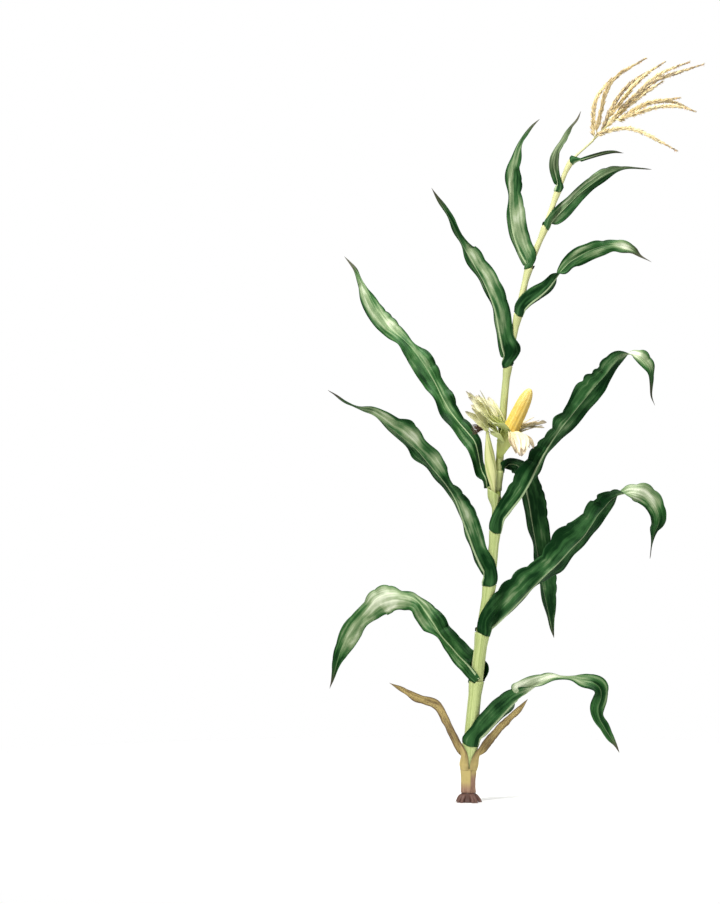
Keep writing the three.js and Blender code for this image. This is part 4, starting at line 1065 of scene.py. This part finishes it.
def add_prop_root(pile, index, angle):
    reach = PROP_ROOT_REACH + 3 * math.sin(5 * index)
    out = np.array([math.cos(angle), math.sin(angle), 0])
    up = np.array([0, 0, PROP_ROOT_TOP])
    t = np.linspace(0, 1, 14)
    knee = out * 0.85 * reach + 0.8 * up
    points, tangents = bezier(out * 0.4 * reach + up, knee, out * reach - 0.3 * up, t)
    side = np.array([-out[1], out[0], 0])
    across = np.cross(side, tangents)
    around = turns(PROP_ROOT_SIDES)
    radii = np.interp(t, (0, 0.5, 1), (6.5, 6, 5)) * (1 + 0.06 * np.sin(9 * t + index))
    rings = points[:, None, :] + circle(across, side, around) * radii[:, None, None]
    rings[..., 2] = np.maximum(rings[..., 2], 0)
    sunk = rings[..., 2].max(1) <= 0
    keep = 1 + int(np.argmax(sunk)) if sunk.any() else len(t)
    shade = np.broadcast_to((0.55, 1.0, 0.0), (keep, PROP_ROOT_SIDES, 3))
    pile.loft(rings[:keep], 0, stacked(np.cos(around)[None, :], 0.1 * t[:keep, None]), shade, bands=0.4)


def build_leaves():
    for index, (row, places, trace) in enumerate(zip(LEAVES, LEAF_PAINTED_LIGHT_AND_SHADE, LEAF_TRACES)):
        rng = np.random.default_rng(100 + index)
        node = FIRST_LEAF_NODE + index
        label = f"{index + 1:02d}"
        leaf = SimpleNamespace(**{**USUAL_LEAF, **vars(row), **row.own}, side=LEFT if index % 2 else RIGHT)
        leaf.angle = leaf_angle(leaf.side, leaf.swing)
        holds_ear = index == LOWER_EAR_LEAF
        start = node - 1 - FLARE_END / internode_length(node - 1)
        pile = Pile()
        opening = (EAR_BULGE, EAR_RIM_SEAT, EAR_RIM_DROP) if holds_ear else ()
        add_sheath(pile, node, leaf.angle, start, rng.uniform(), *opening)
        pile.build(f"sheath_{label}_skin", [sheath_skin], "sheath", [f"sheath_{label}"])
        seat = leaf.seat * DEG if leaf.seat else leaf.angle
        foot = collar_foot(node, seat, leaf.wrap * DEG, LOWER_EAR_BULGE if holds_ear else 0.0)
        painted_light_spots = np.array(places).reshape(-1, 5) / 100

        # The lightness paint: the leaf's tone, darker towards the margins, plus its painted highlights and
        # painted shade
        def pale(t, u):
            margin = leaf.tone - 0.1 * np.abs(u) ** 4 - 0.3 * np.abs(u) ** 12
            return margin + sum(by * np.exp(-((t - at) / span) ** 2 - ((u - across) / reach) ** 2)
                                for at, span, across, reach, by in painted_light_spots)

        looks = blade_looks(
            rng, keel=1.2 + leaf.length * 0.0022, rib_width=1.3 + leaf.half * 0.02, rib_paint=0.75, pale=pale,
            left_edge=lobes(rng, *MARGIN_LOBES), right_edge=lobes(rng, *MARGIN_LOBES), lobed=leaf.lobed,
            coarse=2.0, ruffle=3.0, browned=0.9, tip_from=leaf.tip_from, dried=leaf.dried)
        pile = Pile()
        add_blade(pile, leaf, foot, looks, trace)
        names = [f"blade_{label}_rise", f"blade_{label}_fall"] if leaf.split else [f"blade_{label}"]
        pile.build(f"leaf_{label}_blade", leaf_skins, "leaf", names)


def dry_pale(t, u):
    return 0.5 * np.exp(-((t - 0.3) / 0.14) ** 2) + 0.5 * ramp(t, 0.8, 0.2)


def build_dry_leaves():
    for index, (leaf, trace) in enumerate(zip(DRY_LEAVES, DRY_TRACES)):
        rng = np.random.default_rng(200 + index)
        seat = leaf_angle(leaf.side, 0)
        start = DRY_SHEATH_FOOT / STALK_NODES[1, 0]
        pile = Pile()
        add_sheath(pile, 1, seat, start, rng.uniform(), seat=seat, drop=DRY_RIM_DROP,
                   crinkle=crumple(rng, 14, 40))
        pile.build(f"dry_sheath_{leaf.name}", [dry_sheath_skin], "dry_sheath", [f"sheath_dry_{leaf.name}"])
        spec = SimpleNamespace(**DRY_LEAF, side=leaf.side, angle=leaf_angle(leaf.side, leaf.swing))
        looks = blade_looks(
            rng, left_edge=wander(rng, 30, 90), right_edge=wander(rng, 30, 90), ruffle=3.0,
            left_wave=wander(rng, 50, 110), right_wave=wander(rng, 50, 110), relief=crumple(rng, 16, 60),
            relief_height=1.5, keel=1.2, lamina=0.8, rib_width=1.8, lobed=1.0, coarse=1.0, ochre=0.6,
            pale=dry_pale)
        pile = Pile()
        add_blade(pile, spec, collar_foot(1, seat, DRY_HALF_WRAP), looks, trace, step=2.5)
        pile.build(f"dry_leaf_{leaf.name}", [dry_skin, dry_skin], "dry_leaf", [f"blade_dry_{leaf.name}"])


def add_cob(pile, foot, axis, tip):
    """Rows of kernels as one domed skin, every other row half a kernel further along"""
    samples = 8
    rng = np.random.default_rng(31)
    middle = foot + axis * 0.3 * np.linalg.norm(tip - foot)
    share = np.linspace(0, 1, KERNELS * 7 + 1)
    found = ring_frame(*bezier(foot, middle, tip, share))
    tail = np.clip((share - 0.14) / 0.86, 0, 1)
    body = np.where(share < 0.14, mix(0.76, 1, share / 0.14), np.sqrt(np.maximum(0.004, 1 - tail ** 7)))
    body *= 1 - 0.1 * ramp(share, 0.35, 0.6)
    share = share[:, None]
    column = np.arange(COB_ROWS * samples)
    row = column // samples
    in_row = (column % samples + 0.5) / samples * 2 - 1
    place = share * KERNELS + 0.5 * (row % 2)
    kernel = np.floor(place).astype(int)
    in_kernel = (place - kernel) * 2 - 1
    dome = np.maximum(0, 1 - np.abs(in_row) ** 3) ** 0.5 * np.maximum(0, 1 - np.abs(in_kernel) ** 4) ** 0.5
    size = rng.uniform(0.75, 1.0, (COB_ROWS, KERNELS + 2))[row, kernel]
    tint = rng.uniform(0, 1, (COB_ROWS, KERNELS + 2))[row, kernel]
    height = KERNEL_HEIGHT * dome * size * mix(1.0, 0.5, ramp(share, 0.8, 0.2))
    angle = column / len(column) * TAU + 0.1 * share
    rings = around_limb(found, angle, (COB_RADIUS - 2.4) * body[:, None] + height)
    # Painted shade: red paint darkens the grooves between the kernels
    painted_groove_shade = smooth(1 - dome * 1.6) * 0.8
    base = smooth(1 - share / 0.3) * 0.75
    pile.loft(rings, 0, None, stacked(painted_groove_shade, base, tint * 0.5 + 0.5 * ramp(share, 0.5, 0.5)))


def wrapped(share, husks, twist):
    """Angles round a closed ear or its cup, and how far across the husks that wrap it, from 0 to 1"""
    angle = np.broadcast_to(turns(EAR_SIDES), (len(share), EAR_SIDES))
    return angle, (angle / TAU * husks + twist * share) % 1


def build_upper_ear():
    ear = UPPER_EAR
    rng = np.random.default_rng(30)
    share = np.linspace(0, 1, 48)
    found = ring_frame(*bezier(ear.foot, ear.knee, ear.lip, share))
    share = share[:, None]
    angle, layers = wrapped(share, 5, 0.6)
    radius = mix(ear.foot_radius, ear.lip_radius, smooth(share)) - 1.5 + 1.4 * layers
    radius = radius + 0.25 * np.cos(40 * angle)
    paint = stacked(0 * angle, 1 - 0.5 * smooth(share), layers)
    pile = Pile()
    pile.loft(around_limb(found, angle, radius), 0, stacked(angle / math.pi, 0.08 * share), paint)
    pile.build("ear_husk_cup", [cup_skin], "husk", ["ear_upper_shank"])
    lip, low = one_of(found, -1), one_of(found, LOW_HUSK)
    pile = Pile()
    add_cob(pile, lip.point + lip.tangent * GAP, lip.tangent, np.array(ear.tip, dtype=float))
    pile.build("ear_cob_kernels", [cob_skin], "cob", ["ear_upper_cob"])

    lip_round = (COB_RADIUS + GAP) * facet_scale(HUSK_HALF_WRAP, COLLAR_SEGMENTS)
    for index, husk in enumerate(HUSKS):
        pile = Pile()
        for layer in range(HUSK_LAYERS[husk.side]):
            spec = SimpleNamespace(**vars(husk), **HUSK_BEND)
            spec.half *= MAIN_HUSK_WIDER[husk.side]
            spec.length *= MAIN_HUSK_SHORTER
            late = layer > LAST_HIGH_LAYER
            if layer:
                spec.around += rng.uniform(-24, 24)
                spec.swing += rng.uniform(-8, 8)
                spec.length = husk.length * rng.uniform(0.6, 0.95)
                spec.rise += rng.uniform(-12, 18)
                spec.fall += rng.uniform(-16, 16)
                spec.half = husk.half * (rng.uniform(0.35, 1.0) + (0.5 if late else 0))
            spec.angle = leaf_angle(spec.side, spec.swing)
            seat, round_ = low, ear.lip_radius - 3
            if husk.side == RIGHT or not late:
                seat, round_ = lip, lip_round - LAYER_STEP * layer
            foot = arc_foot(seat, seat.point, spec.around * DEG, round_, HUSK_HALF_WRAP)
            looks = blade_looks(
                rng, ragged=0.07, left_edge=wander(rng, 20, 60), right_edge=wander(rng, 20, 60), ruffle=3.5,
                left_wave=wander(rng, 40, 90), right_wave=wander(rng, 40, 90), relief=crumple(rng, 30, 80),
                relief_height=1.0, keel=0.3, channel=0.1, lamina=0.6, browned=0.7, tip_from=0.86,
                pale=lambda t, u: 1 - ramp(t, 0.1, 0.65))
            add_blade(pile, spec, foot, looks, step=3.0, count=21)
        pile.build(f"ear_husk_{index + 1}", husk_skins[husk.side], "husk", [f"ear_upper_husk_{index + 1}"])


def build_lower_ear():
    ear = LOWER_EAR
    rng = np.random.default_rng(40)
    share = np.linspace(0, 1, 90)
    found = ring_frame(*bezier(ear.foot, ear.belly, ear.neck, share))
    base = np.interp(share, np.linspace(0, 1, len(ear.radii)), ear.radii)[:, None]
    share = share[:, None]
    angle, layers = wrapped(share, 4, 1.3)
    radius = base - 0.8 + 1.1 * layers + 0.2 * np.cos(44 * angle)
    # Painted shade: the husk skin is darker green where each wrap starts, next to the step of the lapped edge
    paint = stacked(0 * angle, smooth(1 - layers * 3) * 0.9, 0.3)
    pile = Pile()
    pile.loft(around_limb(found, angle, radius), 0, stacked(angle / math.pi, 0.2 * share), paint)
    pile.build("lower_ear_husks", [ear_husk], "husk", ["ear_lower"])

    pile = Pile()
    neck = np.array(ear.neck, dtype=float)
    t = np.linspace(0, 1, 12)
    for _ in range(SILK_STRANDS):
        turn = rng.uniform(0, TAU)
        cosine, sine = math.cos(turn), math.sin(turn)
        spread = rng.uniform(0.1, 0.55)
        length = SILK_LENGTH * rng.uniform(0.6, 1.05)
        out = np.array([-0.62 + spread * cosine, spread * sine - 0.2, 0.5])
        seat = neck + np.array([cosine, sine, 0]) * rng.uniform(0, 3.6)
        middle = seat + out * 0.5 * length
        fall = length * rng.uniform(-0.45, 0.1)
        end = middle + np.array([-0.5 * length * (0.7 + 0.3 * cosine), 14 * sine, fall])
        points, _ = bezier(seat, middle, end, t)
        points += np.stack([wander(rng, 0.3, 1.2)(t) for _ in range(3)], -1) * 1.5 * t[:, None]
        add_tube(pile, points, np.linspace(0.75, 0.35, 12), 5, int(rng.integers(3)))
    pile.build("lower_ear_silk", silk_skins, "silk", ["ear_lower_silk"], baked=False)


def spindle(start, direction, side, length, radius, flat=0.75):
    """Rings of a small pointed husk"""
    shares = np.array([0.0, 0.18, 0.45, 0.75, 1.0])
    widths = np.array([0.35, 0.85, 1.0, 0.7, 0.08]) * radius
    away = np.cross(direction, side)
    around = turns(6)
    ring = side * np.cos(around)[:, None] + away * (flat * np.sin(around))[:, None]
    return (start + direction * length * shares[:, None])[:, None, :] + ring * widths[:, None, None]


def dress_limb(rng, piles, rib, length, bare, radius, rows, tint):
    """A limb of the tassel with whorls of spikelets from its bare foot on, and hanging anthers"""
    limbs, spikelets, anthers = piles
    s = np.linspace(0, length, max(12, round(length / 9)))
    add_tube(limbs, rib.point_at(s), mix(radius, 0.45, smooth(s / length)), 7)
    count = int((length - bare) / SPIKELET_PITCH)
    for k in range(count):
        place = bare + (length - bare) * (k + rng.uniform(-0.2, 0.2)) / count
        place = float(np.clip(place, 0, length - 1))
        share = (place - bare) / (length - bare)
        tangent = rib.direction(place)
        centre = rib.point_at(place)
        side = square_to(np.array([0.2, 0.3, 1.0]), tangent)
        away = np.cross(tangent, side)
        for pair in range(rows):
            around = (k * 0.5 + pair / rows) * TAU + rng.uniform(-0.5, 0.5)
            out = side * math.cos(around) + away * math.sin(around)
            lift = rng.uniform(0.2, 0.62) * mix(1.0, 0.5, share)
            direction = unit(tangent + out * lift)
            slim = mix(1.0, 0.45, ramp(share, 0.6, 0.4))
            size = rng.uniform(*SPIKELET_LENGTHS) * slim
            start = centre + out * 0.8
            finish = tint if rng.uniform() < LIMB_TINT_CHANCE else int(rng.integers(4))
            finish = 3 if share > 0.85 and rng.uniform() < TIP_TINT_CHANCE else finish
            girth = rng.uniform(*SPIKELET_RADII) * slim
            spikelets.loft(spindle(start, direction, square_to(out, direction), size, girth), finish)
            if rng.uniform() < ANTHER_CHANCE:
                tip = start + direction * size * 0.8
                hang = unit(np.array([0, 0, -1.0]) + direction * 0.5 + rng.normal(0, 0.25, 3))
                cross = square_to(np.array([1.0, 0.2, 0]), hang)
                anther = spindle(tip, hang, cross, rng.uniform(*ANTHER_LENGTHS), ANTHER_RADIUS, 1.0)
                anthers.loft(anther, int(rng.integers(2)))


def build_tassel():
    rng = np.random.default_rng(50)
    fork = one_of(stalk_at(FORK), 0)
    spike = rib_curve(SPIKE, fork.point + fork.tangent * GAP, fork.tangent, 0.0, 0, SPIKE_ZONE)
    piles = limbs, spikelets, anthers = Pile(), Pile(), Pile()
    dress_limb(rng, piles, spike, SPIKE.length, SPIKE_BARE, RACHIS_RADIUS, 5, 0)
    for index, branch in enumerate(BRANCHES):
        seat = ring_frame(spike.point_at(branch.at), spike.direction(branch.at))
        out = outward(seat, branch.around * DEG)
        foot = seat.point + out * RACHIS_RADIUS * 0.5
        rib = rib_curve(branch, foot, out, branch.swing * DEG, 0, BRANCH_ZONE)
        length = branch.length
        dress_limb(rng, piles, rib, length, BRANCH_BARE * length, BRANCH_RADIUS, 3, index % 4)
    names = ["tassel_spike", *(f"tassel_branch_{k + 1:02d}" for k in range(len(BRANCHES)))]
    limbs.build("tassel_limbs", rachis_skins, "tassel", names, baked=False)
    spikelets.build("tassel_spikelets", spikelet_skins, "tassel", baked=False)
    anthers.build("tassel_anthers", anther_skins, "tassel", baked=False)


# The studio: a pale floor that fades out, soft light and the photograph's camera
def build_floor():
    points = [(FLOOR_RADIUS * math.cos(angle), FLOOR_RADIUS * math.sin(angle), 0.0) for angle in turns(64)]
    mesh = bpy.data.meshes.new("floor")
    mesh.from_pydata(points, [], [list(range(64))])
    shader = Shader("floor_paper", 0.85)
    shader.feed(shader.surface.inputs["Base Color"], "f4f4f2")
    place = shader.node("TexCoord").outputs["Object"]
    reach = shader.node("VectorMath", {0: place}, operation="LENGTH").outputs["Value"]
    fade = shader.ranged(reach, *FLOOR_FADE)
    clear = shader.node("BsdfTransparent").outputs[0]
    seen = shader.node("MixShader", {0: fade, 1: shader.surface.outputs[0], 2: clear})
    shader.feed(shader.tree.nodes["Material Output"].inputs["Surface"], seen.outputs[0])
    mesh.materials.append(shader.material)
    in_scene("floor", mesh)


def build_world():
    """White for the camera, and softer as the light that fills the shadows"""
    world = bpy.data.worlds.new("studio")
    world.use_nodes = True
    nodes, links = world.node_tree.nodes, world.node_tree.links
    blend = nodes.new("ShaderNodeMixShader")
    path = nodes.new("ShaderNodeLightPath")
    links.new(path.outputs["Is Camera Ray"], blend.inputs[0])
    sources = nodes["Background"], nodes.new("ShaderNodeBackground")
    for index, (source, strength) in enumerate(zip(sources, (0.26, 1.0)), 1):
        source.inputs["Color"].default_value = (1, 1, 1, 1)
        source.inputs["Strength"].default_value = strength
        links.new(source.outputs[0], blend.inputs[index])
    links.new(blend.outputs[0], nodes["World Output"].inputs["Surface"])
    bpy.context.scene.world = world


def build_lights():
    for name, spot, aim, size, power in (
        ("key_light", (-2.4, -3.4, 4.8), (0.1, 0, 1.3), 1.5, 360),
        ("top_light", (0.3, 0.4, 5.2), (0.1, 0, 1.2), 2.2, 230),
        ("side_light", (3.4, -2.2, 2.4), (0.1, 0, 1.2), 1.8, 60),
    ):
        data = bpy.data.lights.new(name, "AREA")
        data.shape = "DISK"
        data.size = size
        data.energy = power
        light = in_scene(name, data)
        light.location = spot
        back = unit(np.array(spot) - np.array(aim))
        light.rotation_euler = (math.acos(back[2]), 0, math.atan2(back[0], -back[1]))


def build_camera():
    data = bpy.data.cameras.new("camera")
    data.lens = 135
    data.sensor_width = 36
    data.clip_end = 60
    camera = in_scene("camera", data)
    camera.location = [value * MM for value in CAMERA_SPOT]
    camera.rotation_euler = (90 * DEG, 0, 0)
    bpy.context.scene.camera = camera
    bpy.context.scene.view_settings.view_transform = "Standard"


build_stalk()
build_leaves()
build_dry_leaves()
build_upper_ear()
build_lower_ear()
build_tassel()
build_floor()
build_world()
build_lights()
build_camera()
